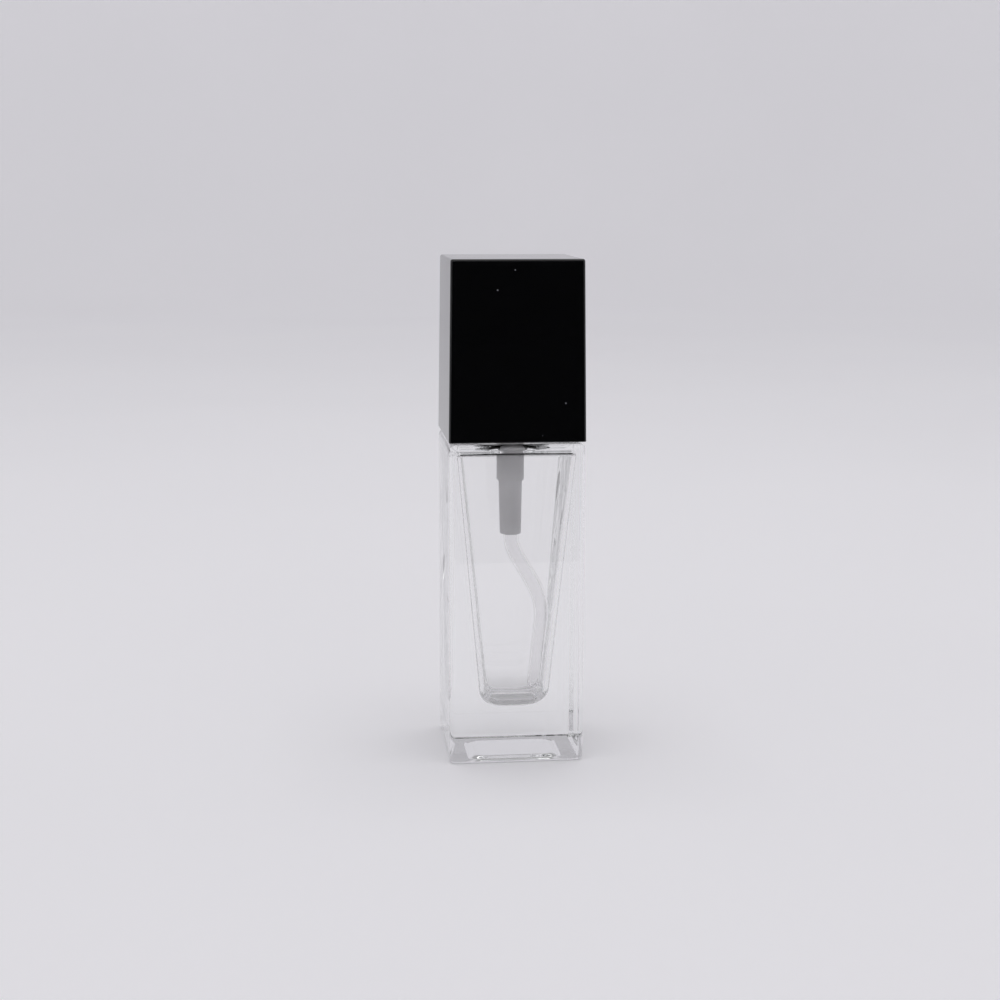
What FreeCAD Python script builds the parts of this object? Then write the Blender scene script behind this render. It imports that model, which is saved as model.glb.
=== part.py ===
"""Square glass spray bottle with a screw-on pump and a black overcap, in millimetres.

The origin is the centre of the bottle's foot and +Z is up. The spray leaves towards -Y.
Heights are worked out as a chain from the foot up to the rim of the neck, and from the rim
down through the pump, so that a changed size moves every piece that seats on it.
"""

import FreeCAD, Part
import math
import os

from FreeCAD import Vector

# Glass bottle, outside
BODY_WIDTH = 32.0
SHOULDER_HEIGHT = 76.6
BODY_CORNER_RADIUS = 1.5
SHOULDER_EDGE_RADIUS = 1.4
FOOT_EDGE_RADIUS = 1.0
FOOT_RIM_WIDTH = 4.8
PUSH_UP_DEPTH = 0.6
PUSH_UP_SLOPE_WIDTH = 1.8
PUSH_UP_ROUNDNESS = 0.25

# Glass bottle, inside
WALL_AT_SHOULDER = 1.9
WALL_AT_FLOOR = 7.9
BASE_THICKNESS = 11.8
CEILING_THICKNESS = 2.2
CAVITY_FLOOR_RADIUS = 4.8
CAVITY_CEILING_RADIUS = 0.9
CAVITY_CORNER_AT_SHOULDER = 1.7
CAVITY_CORNER_AT_FLOOR = 3.0
CAVITY_FLOOR_ROUNDNESS = 0.7
CAVITY_FLOOR_STEPS = 5

# Neck and screw thread
NECK_HEIGHT = 12.4
NECK_ROOT_RADIUS = 8.8
NECK_BORE_RADIUS = 5.6
NECK_FILLET = 0.8
RIM_FILLET = 0.5
THREAD_PITCH = 3.2
THREAD_TURNS = 1.25
THREAD_DEPTH = 1.1
THREAD_ROOT_WIDTH = 1.5
THREAD_CREST_WIDTH = 0.7
THREAD_TOP_MARGIN = 2.2
THREAD_RADIAL_GAP = 0.3
THREAD_FLANK_GAP = 0.25
THREAD_EMBED = 0.3

# Gasket, pump housing and stem guide
GASKET_THICKNESS = 1.0
GASKET_RADIAL_GAP = 0.3
FLANGE_THICKNESS = 1.4
GUIDE_FLANGE_THICKNESS = 1.0
GUIDE_DEPTH = 5.0
CHAMBER_RADIUS = 3.8
CHAMBER_WALL = 1.0
SPRING_BORE_RADIUS = 2.45
SPRING_BORE_WALL = 0.85
HOUSING_FLOOR = 0.7
TAIL_WALL_TOP = 1.03
TAIL_WALL_BOTTOM = 0.75
TAIL_TOP_DROP = 1.0
TAIL_LENGTH = 13.0
SOCKET_DEPTH = 9.1
SOCKET_CHAMFER = 0.25
VENT_RADIUS = 0.4

# Stem, piston and valve
BUTTON_STROKE = 4.0
STEM_RADIUS = 2.4
STEM_BORE_RADIUS = 1.1
STEM_NECK_RADIUS = 1.9
STEM_PORT_RADIUS = 0.4
RUNNING_GAP = 0.08
PISTON_HEIGHT = 3.8
PISTON_FLOAT = 0.6
PISTON_LIP_HEIGHT = 0.9
PISTON_LIP_RELIEF = 0.5
STOP_GAP = 0.1
SEAT_GAP = 0.05
TIP_FLANGE_RADIUS = 2.9
TIP_FLANGE_THICKNESS = 1.1
TIP_SPIGOT_HEIGHT = 1.2
TIP_SPRING_GUIDE_RADIUS = 1.5
TIP_SPRING_GUIDE_LENGTH = 1.4
STROKE_END_GAP = 0.3
SPRING_LENGTH = 14.6
SPRING_WIRE_RADIUS = 0.25
SPRING_SIDE_GAP = 0.25
SPRING_COILS = 8
BALL_RADIUS = 1.5
BALL_TRAVEL = 0.8
BALL_SIDE_GAP = 0.3
BALL_SEAT_SLOPE = 0.8
BALL_SEAT_GAP = 0.02
BEAD_RADIUS = 1.35
BEAD_THICKNESS = 0.6
CHANNEL_RADIUS = 1.0

# Dip tube
TUBE_RADIUS = 1.8
TUBE_BORE_RADIUS = 1.3
TUBE_STRAIGHT_BELOW_SOCKET = 3.0
TUBE_LEAN_DEG = 36.0
TUBE_SIDE_REACH = 8.4
TUBE_TIP_CLEARANCE = 3.0
TUBE_WALL_CLEARANCE = 0.45
TUBE_ARC_SHARE = 0.45

# Screw collar
COLLAR_SEAT_GAP = 0.05
COLLAR_WALL = 1.5
COLLAR_TOP_THICKNESS = 1.6
COLLAR_FOOT_GAP = 0.6
COLLAR_HOLE_RADIUS = 4.4
KNURL_COUNT = 48
KNURL_RADIUS = 0.36
KNURL_HEIGHT = 0.3
KNURL_MARGIN = 0.9
TURRET_WALL = 1.2
TURRET_OVERLAP = 0.8

# Spray button and its insert
BUTTON_RADIUS = 7.7
BUTTON_HEIGHT = 12.0
BUTTON_WALL = 1.1
BUTTON_TOP_THICKNESS = 3.2
BUTTON_ROOF_OVERLAP = 0.5
BUTTON_EDGE_RADIUS = 0.8
BUTTON_SIDE_GAP = 0.35
BUTTON_FOOT_GAP = 0.5
BUTTON_DISH_DEPTH = 0.7
BOSS_WALL = 1.3
BOSS_DROP = 1.2
STEM_SOCKET_DEPTH = 6.0
OUTLET_RADIUS = 0.7
INSERT_RADIUS = 2.0
INSERT_LENGTH = 2.6
INSERT_DROP = 4.9
INSERT_BORE_RADIUS = 1.1
INSERT_FACE_THICKNESS = 0.8
ORIFICE_RADIUS = 0.2
SPRAY_DISH_RADIUS = 3.0
SPRAY_DISH_DEPTH = 0.5

# Overcap and its liner
CAP_GAP = 0.5
CAP_OVERHANG = 0.05
CAP_HEIGHT = 42.2
CAP_DRAFT = 0.55
CAP_EDGE_RADIUS = 0.6
CAP_WALL = 1.9
CAP_TOP_THICKNESS = 2.0
CAP_INNER_CORNER = 1.6
LINER_WALL = 0.8
LINER_GRIP_GAP = 0.05
LINER_RIB_HEIGHT = 0.45
LINER_RIB_RADIUS = 0.5
LINER_RIB_COUNT = 12
LINER_FLANGE_THICKNESS = 1.5
LINER_FLANGE_INSET = 0.9
LINER_SIDE_GAP = 0.1
LINER_LEDGE_THICKNESS = 1.4
LINER_LEDGE_GAP = 0.35
LINER_FIN_THICKNESS = 1.2

OUTPUT_FOLDER = "parts"
UP = Vector(0, 0, 1)
FORWARD = Vector(0, -1, 0)
SIDEWAYS = Vector(1, 0, 0)
ORIGIN = Vector(0, 0, 0)
CUT_MARGIN = 1.0
SAME_PLACE = 1e-6
FILLET_SHARE = 0.95

# Heights and radii that follow from the sizes above
half_width = BODY_WIDTH / 2
cavity_floor = BASE_THICKNESS
cavity_ceiling = SHOULDER_HEIGHT - CEILING_THICKNESS
rim_height = SHOULDER_HEIGHT + NECK_HEIGHT
thread_radius = NECK_ROOT_RADIUS + THREAD_DEPTH
thread_start = rim_height - THREAD_TOP_MARGIN - THREAD_TURNS * THREAD_PITCH
collar_bore_radius = thread_radius + THREAD_RADIAL_GAP
flange_radius = collar_bore_radius - THREAD_DEPTH - THREAD_RADIAL_GAP
gasket_radius = flange_radius - GASKET_RADIAL_GAP

flange_bottom = rim_height + GASKET_THICKNESS
flange_top = flange_bottom + FLANGE_THICKNESS
guide_top = flange_top + GUIDE_FLANGE_THICKNESS
guide_bottom = guide_top - GUIDE_DEPTH
piston_top = guide_bottom - PISTON_FLOAT - STOP_GAP
piston_bottom = piston_top - PISTON_HEIGHT
tip_flange_top = piston_bottom - SEAT_GAP
tip_flange_bottom = tip_flange_top - TIP_FLANGE_THICKNESS
chamber_bottom = tip_flange_bottom - BUTTON_STROKE - STROKE_END_GAP
chamber_cone_bottom = chamber_bottom - (CHAMBER_RADIUS - SPRING_BORE_RADIUS)
chamber_outside_bottom = chamber_cone_bottom - HOUSING_FLOOR
spring_seat = tip_flange_bottom - SPRING_LENGTH
bead_bottom = spring_seat - BEAD_THICKNESS
bead_catch = math.sqrt(BALL_RADIUS**2 - BEAD_RADIUS**2)
ball_centre = bead_bottom - bead_catch - STOP_GAP - BALL_TRAVEL
ball_chamber_radius = BALL_RADIUS + BALL_SIDE_GAP
seat_slant = math.hypot(BALL_SEAT_SLOPE, 1.0)
seat_bottom = ball_centre - BALL_SEAT_GAP - (BALL_RADIUS * seat_slant - CHANNEL_RADIUS) / BALL_SEAT_SLOPE
seat_top = seat_bottom + (ball_chamber_radius - CHANNEL_RADIUS) / BALL_SEAT_SLOPE
tail_top = spring_seat - HOUSING_FLOOR - TAIL_TOP_DROP
tail_bottom = tail_top - TAIL_LENGTH
socket_top = tail_bottom + SOCKET_DEPTH
collar_seat = guide_top + COLLAR_SEAT_GAP
collar_shoulder = collar_seat + COLLAR_TOP_THICKNESS
collar_bottom = SHOULDER_HEIGHT + COLLAR_FOOT_GAP
collar_core_radius = collar_bore_radius + COLLAR_WALL
collar_outer_radius = collar_core_radius + KNURL_HEIGHT
button_bottom = collar_shoulder + BUTTON_STROKE + BUTTON_FOOT_GAP
button_top = button_bottom + BUTTON_HEIGHT
turret_top = button_bottom + TURRET_OVERLAP
turret_bore_radius = BUTTON_RADIUS + BUTTON_SIDE_GAP
turret_radius = turret_bore_radius + TURRET_WALL
boss_bottom = button_bottom - BOSS_DROP
boss_radius = STEM_RADIUS + BOSS_WALL
stem_top = boss_bottom + STEM_SOCKET_DEPTH
outlet_height = button_top - INSERT_DROP

cap_bottom = SHOULDER_HEIGHT + CAP_GAP
cap_top = cap_bottom + CAP_HEIGHT
cap_half_bottom = half_width + CAP_OVERHANG
cap_half_top = cap_half_bottom - CAP_DRAFT
liner_bottom = cap_bottom + LINER_FLANGE_INSET
liner_ledge = collar_shoulder + COLLAR_SEAT_GAP
liner_top = liner_ledge + LINER_LEDGE_THICKNESS
liner_grip_radius = collar_outer_radius + LINER_GRIP_GAP
liner_bore_radius = liner_grip_radius + LINER_RIB_HEIGHT
liner_radius = liner_bore_radius + LINER_WALL


def point(radius, angle_deg, height):
    """A point by its distance from the axis, its angle and its height."""
    angle = math.radians(angle_deg)
    return Vector(radius * math.cos(angle), radius * math.sin(angle), height)


def turned(profile):
    """A solid turned about the axis from its outline as (radius, height) corners."""
    corners = [Vector(radius, 0, height) for radius, height in profile]
    outline = Part.makePolygon(corners + corners[:1])
    return Part.Face(outline).revolve(ORIGIN, UP, 360)


def rod(radius, bottom, top):
    """A round rod on the axis."""
    return Part.makeCylinder(radius, top - bottom, Vector(0, 0, bottom))


def ring(outer_radius, inner_radius, bottom, top):
    """A plain round ring on the axis."""
    return rod(outer_radius, bottom, top).cut(rod(inner_radius, bottom - CUT_MARGIN, top + CUT_MARGIN))


def rounded_square(half, corner_radius, height):
    """A closed square wire with round corners, centred on the axis."""
    straight = half - corner_radius
    edges = []
    for quarter in range(4):
        turn = quarter * 90
        centre = point(straight * math.sqrt(2), turn + 45, height)
        start, middle, end = (centre + point(corner_radius, turn + a, 0) for a in (0, 45, 90))
        edges.append(Part.Arc(start, middle, end).toShape())
        next_centre = point(straight * math.sqrt(2), turn + 135, height)
        edges.append(Part.LineSegment(end, next_centre + point(corner_radius, turn + 90, 0)).toShape())
    return Part.Wire(edges)


def square_loft(sections, ruled=True):
    """A solid through round-cornered squares given as (half width, corner radius, height)."""
    return Part.makeLoft([rounded_square(*section) for section in sections], True, ruled)


def edges_at(shape, height, radius=None):
    """The edges that lie wholly at a height, and at a distance from the axis if one is given."""

    def lies_there(spot):
        at_height = abs(spot.z - height) < SAME_PLACE
        return at_height and (radius is None or abs(math.hypot(spot.x, spot.y) - radius) < SAME_PLACE)

    return [edge for edge in shape.Edges if all(lies_there(vertex.Point) for vertex in edge.Vertexes)]


def helical_ridge(radius, tip_radius, start_height, start_angle, turns):
    """A thread ridge winding up round the axis, its foot sunk a little into the wall at radius."""
    helix = Part.makeHelix(THREAD_PITCH, THREAD_PITCH * turns, radius)
    foot_radius = radius + math.copysign(THREAD_EMBED, radius - tip_radius)
    half_crest = THREAD_CREST_WIDTH / 2
    flank_slope = (THREAD_ROOT_WIDTH / 2 - half_crest) / THREAD_DEPTH
    half_foot = THREAD_ROOT_WIDTH / 2 + flank_slope * THREAD_EMBED
    outline = [
        Vector(foot_radius, 0, -half_foot),
        Vector(tip_radius, 0, -half_crest),
        Vector(tip_radius, 0, half_crest),
        Vector(foot_radius, 0, half_foot),
    ]
    ridge = Part.Wire(helix).makePipeShell([Part.makePolygon(outline + outline[:1])], True, True)
    ridge.rotate(ORIGIN, UP, start_angle)
    ridge.translate(Vector(0, 0, start_height))
    return ridge


def wall_taper():
    """How far the cavity's half width grows for each millimetre of height."""
    return (WALL_AT_FLOOR - WALL_AT_SHOULDER) / (cavity_ceiling - cavity_floor)


def cavity_half(height):
    """Half the cavity's width at a height, before its floor and ceiling are rounded."""
    return half_width - WALL_AT_SHOULDER - wall_taper() * (cavity_ceiling - height)


def cavity_corner(height):
    """The radius of the cavity's upright corners at a height."""
    share = (cavity_ceiling - height) / (cavity_ceiling - cavity_floor)
    return CAVITY_CORNER_AT_SHOULDER + share * (CAVITY_CORNER_AT_FLOOR - CAVITY_CORNER_AT_SHOULDER)


def bottle_cavity():
    """The space inside the glass: tapered walls, a bowl-shaped floor and a rounded ceiling."""
    lean = math.atan(wall_taper())
    bowl_top = cavity_floor + CAVITY_FLOOR_RADIUS * (1 - math.sin(lean))
    wall_sections = []
    for height in (bowl_top, cavity_ceiling):
        wall_sections.append((cavity_half(height), cavity_corner(height), height))
    walls = square_loft(wall_sections)
    walls = walls.makeFillet(CAVITY_CEILING_RADIUS, edges_at(walls, cavity_ceiling))

    bowl_sections = []
    top_half = cavity_half(bowl_top)
    centre_half = top_half - CAVITY_FLOOR_RADIUS * math.cos(lean)
    start_roundness = cavity_corner(bowl_top) / top_half
    for step in range(CAVITY_FLOOR_STEPS + 1):
        share = step / CAVITY_FLOOR_STEPS
        angle = lean + share * (math.pi / 2 - lean)
        half = centre_half + CAVITY_FLOOR_RADIUS * math.cos(angle)
        height = cavity_floor + CAVITY_FLOOR_RADIUS * (1 - math.sin(angle))
        roundness = start_roundness + share * (CAVITY_FLOOR_ROUNDNESS - start_roundness)
        bowl_sections.append((half, half * roundness, height))
    bowl = square_loft(bowl_sections, ruled=False)
    return walls.fuse(bowl).removeSplitter()


def push_up():
    """The shallow recess under the foot, which leaves a flat rim to stand on."""
    rim_half = half_width - FOOT_RIM_WIDTH
    sections = []
    for step in (-1, 1):
        half = rim_half - step * PUSH_UP_SLOPE_WIDTH
        sections.append((half, half * PUSH_UP_ROUNDNESS, step * PUSH_UP_DEPTH))
    return square_loft(sections)


def glass_bottle():
    """The whole bottle as one piece of glass, with its neck and thread."""
    body = square_loft(
        [(half_width, BODY_CORNER_RADIUS, 0), (half_width, BODY_CORNER_RADIUS, SHOULDER_HEIGHT)]
    )
    largest_fillet = BODY_CORNER_RADIUS * FILLET_SHARE
    body = body.makeFillet(min(SHOULDER_EDGE_RADIUS, largest_fillet), edges_at(body, SHOULDER_HEIGHT))
    body = body.makeFillet(min(FOOT_EDGE_RADIUS, largest_fillet), edges_at(body, 0))

    neck = rod(NECK_ROOT_RADIUS, SHOULDER_HEIGHT - CEILING_THICKNESS / 2, rim_height)
    glass = body.fuse(neck).removeSplitter()
    glass = glass.makeFillet(NECK_FILLET, edges_at(glass, SHOULDER_HEIGHT, NECK_ROOT_RADIUS))
    glass = glass.cut(rod(NECK_BORE_RADIUS, cavity_ceiling - CUT_MARGIN, rim_height + CUT_MARGIN))
    glass = glass.makeFillet(RIM_FILLET, edges_at(glass, rim_height))
    glass = glass.cut(bottle_cavity()).cut(push_up())
    thread = helical_ridge(NECK_ROOT_RADIUS, thread_radius, thread_start, 0, THREAD_TURNS)
    return glass.fuse(thread)


def gasket():
    """The soft washer between the rim of the glass and the pump's flange."""
    return ring(gasket_radius, NECK_BORE_RADIUS, rim_height, flange_bottom)


def pump_housing():
    """The pump's barrel: flange, piston chamber, spring bore, ball seat and dip tube socket."""
    chamber_outside = CHAMBER_RADIUS + CHAMBER_WALL
    spring_outside = SPRING_BORE_RADIUS + SPRING_BORE_WALL
    tail_outside_top = TUBE_RADIUS + TAIL_WALL_TOP
    tail_outside_bottom = TUBE_RADIUS + TAIL_WALL_BOTTOM
    outline = [
        (flange_radius, flange_bottom),
        (flange_radius, flange_top),
        (CHAMBER_RADIUS, flange_top),
        (CHAMBER_RADIUS, chamber_bottom),
        (SPRING_BORE_RADIUS, chamber_cone_bottom),
        (SPRING_BORE_RADIUS, spring_seat),
        (BEAD_RADIUS, spring_seat),
        (BEAD_RADIUS, bead_bottom),
        (ball_chamber_radius, bead_bottom),
        (ball_chamber_radius, seat_top),
        (CHANNEL_RADIUS, seat_bottom),
        (CHANNEL_RADIUS, socket_top),
        (TUBE_RADIUS, socket_top),
        (TUBE_RADIUS, tail_bottom + SOCKET_CHAMFER),
        (TUBE_RADIUS + SOCKET_CHAMFER, tail_bottom),
        (tail_outside_bottom, tail_bottom),
        (tail_outside_top, tail_top),
        (spring_outside, tail_top),
        (spring_outside, chamber_outside_bottom),
        (chamber_outside, chamber_outside_bottom + (chamber_outside - spring_outside) / 2),
        (chamber_outside, flange_bottom),
    ]
    vent_height = (piston_top + guide_bottom) / 2
    vent = Part.makeCylinder(VENT_RADIUS, chamber_outside + CUT_MARGIN, Vector(0, 0, vent_height), SIDEWAYS)
    return turned(outline).cut(vent)


def stem_guide():
    """The ring that closes the piston chamber and guides the stem."""
    bore = STEM_RADIUS + RUNNING_GAP
    outline = [
        (bore, guide_bottom),
        (bore, guide_top),
        (flange_radius - GASKET_RADIAL_GAP, guide_top),
        (flange_radius - GASKET_RADIAL_GAP, flange_top),
        (CHAMBER_RADIUS, flange_top),
        (CHAMBER_RADIUS, guide_bottom),
    ]
    return turned(outline)


def dip_tube():
    """The pick-up tube: straight in its socket, then bent across to reach the corner of the floor."""
    lean = math.radians(TUBE_LEAN_DEG)
    bend = Vector(0, 0, tail_bottom - TUBE_STRAIGHT_BELOW_SOCKET)
    knee_height = bend.z - TUBE_SIDE_REACH / math.tan(lean)
    knee_room = cavity_half(knee_height) - TUBE_RADIUS - TUBE_WALL_CLEARANCE
    knee = Vector(min(TUBE_SIDE_REACH, knee_room), 0, knee_height)
    tip_height = cavity_floor + TUBE_TIP_CLEARANCE
    bowl_reach = cavity_half(cavity_floor + CAVITY_FLOOR_RADIUS) - CAVITY_FLOOR_RADIUS
    bowl_reach += math.sqrt(CAVITY_FLOOR_RADIUS**2 - (CAVITY_FLOOR_RADIUS - TUBE_TIP_CLEARANCE) ** 2)
    tip = Vector(bowl_reach - TUBE_RADIUS - TUBE_WALL_CLEARANCE, 0, tip_height)
    route = [Vector(0, 0, socket_top), bend, knee, tip]

    edges = []
    run_start = route[0]
    for before, corner, after in zip(route, route[1:], route[2:]):
        back = (before - corner).normalize()
        onward = (after - corner).normalize()
        runs = [(corner - before).Length, (after - corner).Length]
        reach = min(TUBE_ARC_SHARE * min(runs), TUBE_STRAIGHT_BELOW_SOCKET)
        if corner is knee:
            reach = TUBE_ARC_SHARE * min(runs)
        half_turn = (math.pi - back.getAngle(onward)) / 2
        radius = reach / math.tan(half_turn)
        arc_start = corner + back * reach
        arc_end = corner + onward * reach
        inward = (back + onward).normalize()
        arc_middle = corner + inward * (radius / math.cos(half_turn) - radius)
        edges.append(Part.LineSegment(run_start, arc_start).toShape())
        edges.append(Part.Arc(arc_start, arc_middle, arc_end).toShape())
        run_start = arc_end
    edges.append(Part.LineSegment(run_start, route[-1]).toShape())
    path = Part.Wire(edges)

    solids = []
    for radius in (TUBE_RADIUS, TUBE_BORE_RADIUS):
        section = Part.Wire(Part.makeCircle(radius, route[0], UP))
        solids.append(path.makePipeShell([section], True, True))
    return solids[0].cut(solids[1])


def return_spring():
    """The coil spring that lifts the stem."""
    mean_radius = SPRING_BORE_RADIUS - SPRING_SIDE_GAP - SPRING_WIRE_RADIUS
    height = SPRING_LENGTH - 2 * SPRING_WIRE_RADIUS
    helix = Part.makeHelix(height / SPRING_COILS, height, mean_radius)
    section = Part.Wire(Part.makeCircle(SPRING_WIRE_RADIUS, Vector(mean_radius, 0, 0), FORWARD))
    spring = Part.Wire(helix).makePipeShell([section], True, True)
    spring.translate(Vector(0, 0, spring_seat + SPRING_WIRE_RADIUS))
    return spring


def valve_ball():
    """The ball of the inlet valve."""
    return Part.makeSphere(BALL_RADIUS, Vector(0, 0, ball_centre))


def pump_stem():
    """The hollow stem: it carries the button and has the outlet ports that the piston covers."""
    shoulder = piston_top + PISTON_FLOAT + SEAT_GAP
    outline = [
        (STEM_BORE_RADIUS, tip_flange_top),
        (STEM_BORE_RADIUS, stem_top),
        (STEM_RADIUS, stem_top),
        (STEM_RADIUS, shoulder),
        (STEM_NECK_RADIUS, shoulder),
        (STEM_NECK_RADIUS, tip_flange_top),
    ]
    port_height = tip_flange_top + TIP_SPIGOT_HEIGHT + 2 * STEM_PORT_RADIUS
    reach = STEM_NECK_RADIUS + CUT_MARGIN
    port = Part.makeCylinder(STEM_PORT_RADIUS, 2 * reach, Vector(-reach, 0, port_height), SIDEWAYS)
    return turned(outline).cut(port)


def stem_tip():
    """The plug under the stem: it closes the piston's valve and carries the spring."""
    return turned(
        [
            (0, tip_flange_bottom - TIP_SPRING_GUIDE_LENGTH),
            (TIP_SPRING_GUIDE_RADIUS, tip_flange_bottom - TIP_SPRING_GUIDE_LENGTH),
            (TIP_SPRING_GUIDE_RADIUS, tip_flange_bottom),
            (TIP_FLANGE_RADIUS, tip_flange_bottom),
            (TIP_FLANGE_RADIUS, tip_flange_top),
            (STEM_BORE_RADIUS, tip_flange_top),
            (STEM_BORE_RADIUS, tip_flange_top + TIP_SPIGOT_HEIGHT),
            (0, tip_flange_top + TIP_SPIGOT_HEIGHT),
        ]
    )


def pump_piston():
    """The soft piston sleeve, with a sealing lip at each end."""
    bore = STEM_NECK_RADIUS + RUNNING_GAP
    lip = CHAMBER_RADIUS - SEAT_GAP
    waist = lip - PISTON_LIP_RELIEF
    return turned(
        [
            (bore, piston_bottom),
            (bore, piston_top),
            (lip, piston_top),
            (lip, piston_top - PISTON_LIP_HEIGHT / 2),
            (waist, piston_top - PISTON_LIP_HEIGHT),
            (waist, piston_bottom + PISTON_LIP_HEIGHT),
            (lip, piston_bottom + PISTON_LIP_HEIGHT / 2),
            (lip, piston_bottom),
        ]
    )


def screw_collar():
    """The threaded collar that clamps the pump to the neck, with a turret round the button."""
    outline = [
        (collar_bore_radius, collar_bottom),
        (collar_bore_radius, collar_seat),
        (COLLAR_HOLE_RADIUS, collar_seat),
        (COLLAR_HOLE_RADIUS, collar_shoulder),
        (turret_bore_radius, collar_shoulder),
        (turret_bore_radius, turret_top),
        (turret_radius, turret_top),
        (turret_radius, collar_shoulder),
        (collar_core_radius, collar_shoulder),
        (collar_core_radius, collar_bottom),
    ]
    collar = turned(outline)
    knurls = []
    knurl_circle = collar_outer_radius - KNURL_RADIUS
    knurl_length = collar_shoulder - collar_bottom - 2 * KNURL_MARGIN
    for number in range(KNURL_COUNT):
        centre = point(knurl_circle, number * 360 / KNURL_COUNT, collar_bottom + KNURL_MARGIN)
        knurls.append(Part.makeCylinder(KNURL_RADIUS, knurl_length, centre))
    collar = collar.fuse(knurls)
    flank_width = (THREAD_ROOT_WIDTH + THREAD_CREST_WIDTH) / 2
    thread_drop = flank_width + THREAD_FLANK_GAP
    lead_in_turns = THREAD_TURNS - 1
    start_height = thread_start - thread_drop - lead_in_turns * THREAD_PITCH
    thread = helical_ridge(
        collar_bore_radius,
        collar_bore_radius - THREAD_DEPTH,
        start_height,
        -360 * lead_in_turns,
        THREAD_TURNS,
    )
    return collar.fuse(thread)


def spray_button():
    """The finger button: a skirt, a boss for the stem, and the outlet channel to the insert."""
    skirt_bore = BUTTON_RADIUS - BUTTON_WALL
    roof = button_top - BUTTON_TOP_THICKNESS
    body = rod(BUTTON_RADIUS, button_bottom, button_top)
    body = body.makeFillet(BUTTON_EDGE_RADIUS, edges_at(body, button_top))
    dish_radius = (BUTTON_RADIUS**2 + BUTTON_DISH_DEPTH**2) / (2 * BUTTON_DISH_DEPTH)
    dish = Part.makeSphere(dish_radius, Vector(0, 0, button_top + dish_radius - BUTTON_DISH_DEPTH))
    body = body.cut(dish)
    body = body.cut(rod(skirt_bore, button_bottom - CUT_MARGIN, roof))
    boss = rod(boss_radius, boss_bottom, roof + BUTTON_ROOF_OVERLAP)
    bridge_half = INSERT_RADIUS + BUTTON_WALL
    bridge_depth = BUTTON_RADIUS - INSERT_LENGTH / 2
    bridge_foot = outlet_height - bridge_half
    bridge = Part.makeBox(
        2 * bridge_half,
        bridge_depth,
        roof + BUTTON_ROOF_OVERLAP - bridge_foot,
        Vector(-bridge_half, -bridge_depth, bridge_foot),
    )
    body = body.fuse([boss, bridge])
    channel = rod(STEM_BORE_RADIUS, stem_top - CUT_MARGIN, outlet_height + OUTLET_RADIUS)
    socket = rod(STEM_RADIUS, boss_bottom - CUT_MARGIN, stem_top)
    outlet = Part.makeCylinder(OUTLET_RADIUS, BUTTON_RADIUS, Vector(0, 0, outlet_height), FORWARD)
    dish_floor = Vector(0, SPRAY_DISH_DEPTH - BUTTON_RADIUS, outlet_height)
    spray_dish = Part.makeCylinder(SPRAY_DISH_RADIUS, BUTTON_RADIUS, dish_floor, FORWARD)
    pocket_floor = dish_floor - FORWARD * INSERT_LENGTH
    pocket = Part.makeCylinder(INSERT_RADIUS, BUTTON_RADIUS, pocket_floor, FORWARD)
    for hollow in (channel, socket, outlet, pocket, spray_dish):
        body = body.cut(hollow)
    return body.removeSplitter()


def spray_insert():
    """The small nozzle cup pressed into the front of the button."""
    back = Vector(0, SPRAY_DISH_DEPTH + INSERT_LENGTH - BUTTON_RADIUS, outlet_height)
    cup = Part.makeCylinder(INSERT_RADIUS, INSERT_LENGTH, back, FORWARD)
    bore = Part.makeCylinder(INSERT_BORE_RADIUS, INSERT_LENGTH - INSERT_FACE_THICKNESS, back, FORWARD)
    orifice = Part.makeCylinder(ORIFICE_RADIUS, INSERT_LENGTH + CUT_MARGIN, back, FORWARD)
    return cup.cut(bore).cut(orifice)


def cap_inside_half(height):
    """Half the inside width of the overcap at a height."""
    share = (height - cap_bottom) / CAP_HEIGHT
    return cap_half_bottom - CAP_DRAFT * share - CAP_WALL


def cap_shell():
    """The square overcap: a drafted box with rounded edges, open underneath."""
    outside = square_loft(
        [(cap_half_bottom, CAP_EDGE_RADIUS, cap_bottom), (cap_half_top, CAP_EDGE_RADIUS, cap_top)]
    )
    outside = outside.makeFillet(CAP_EDGE_RADIUS * FILLET_SHARE, edges_at(outside, cap_top))
    cut_foot = cap_bottom - CUT_MARGIN
    ceiling = cap_top - CAP_TOP_THICKNESS
    inside = square_loft(
        [
            (cap_inside_half(cut_foot), CAP_INNER_CORNER, cut_foot),
            (cap_inside_half(ceiling), CAP_INNER_CORNER, ceiling),
        ]
    )
    return outside.cut(inside)


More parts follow.
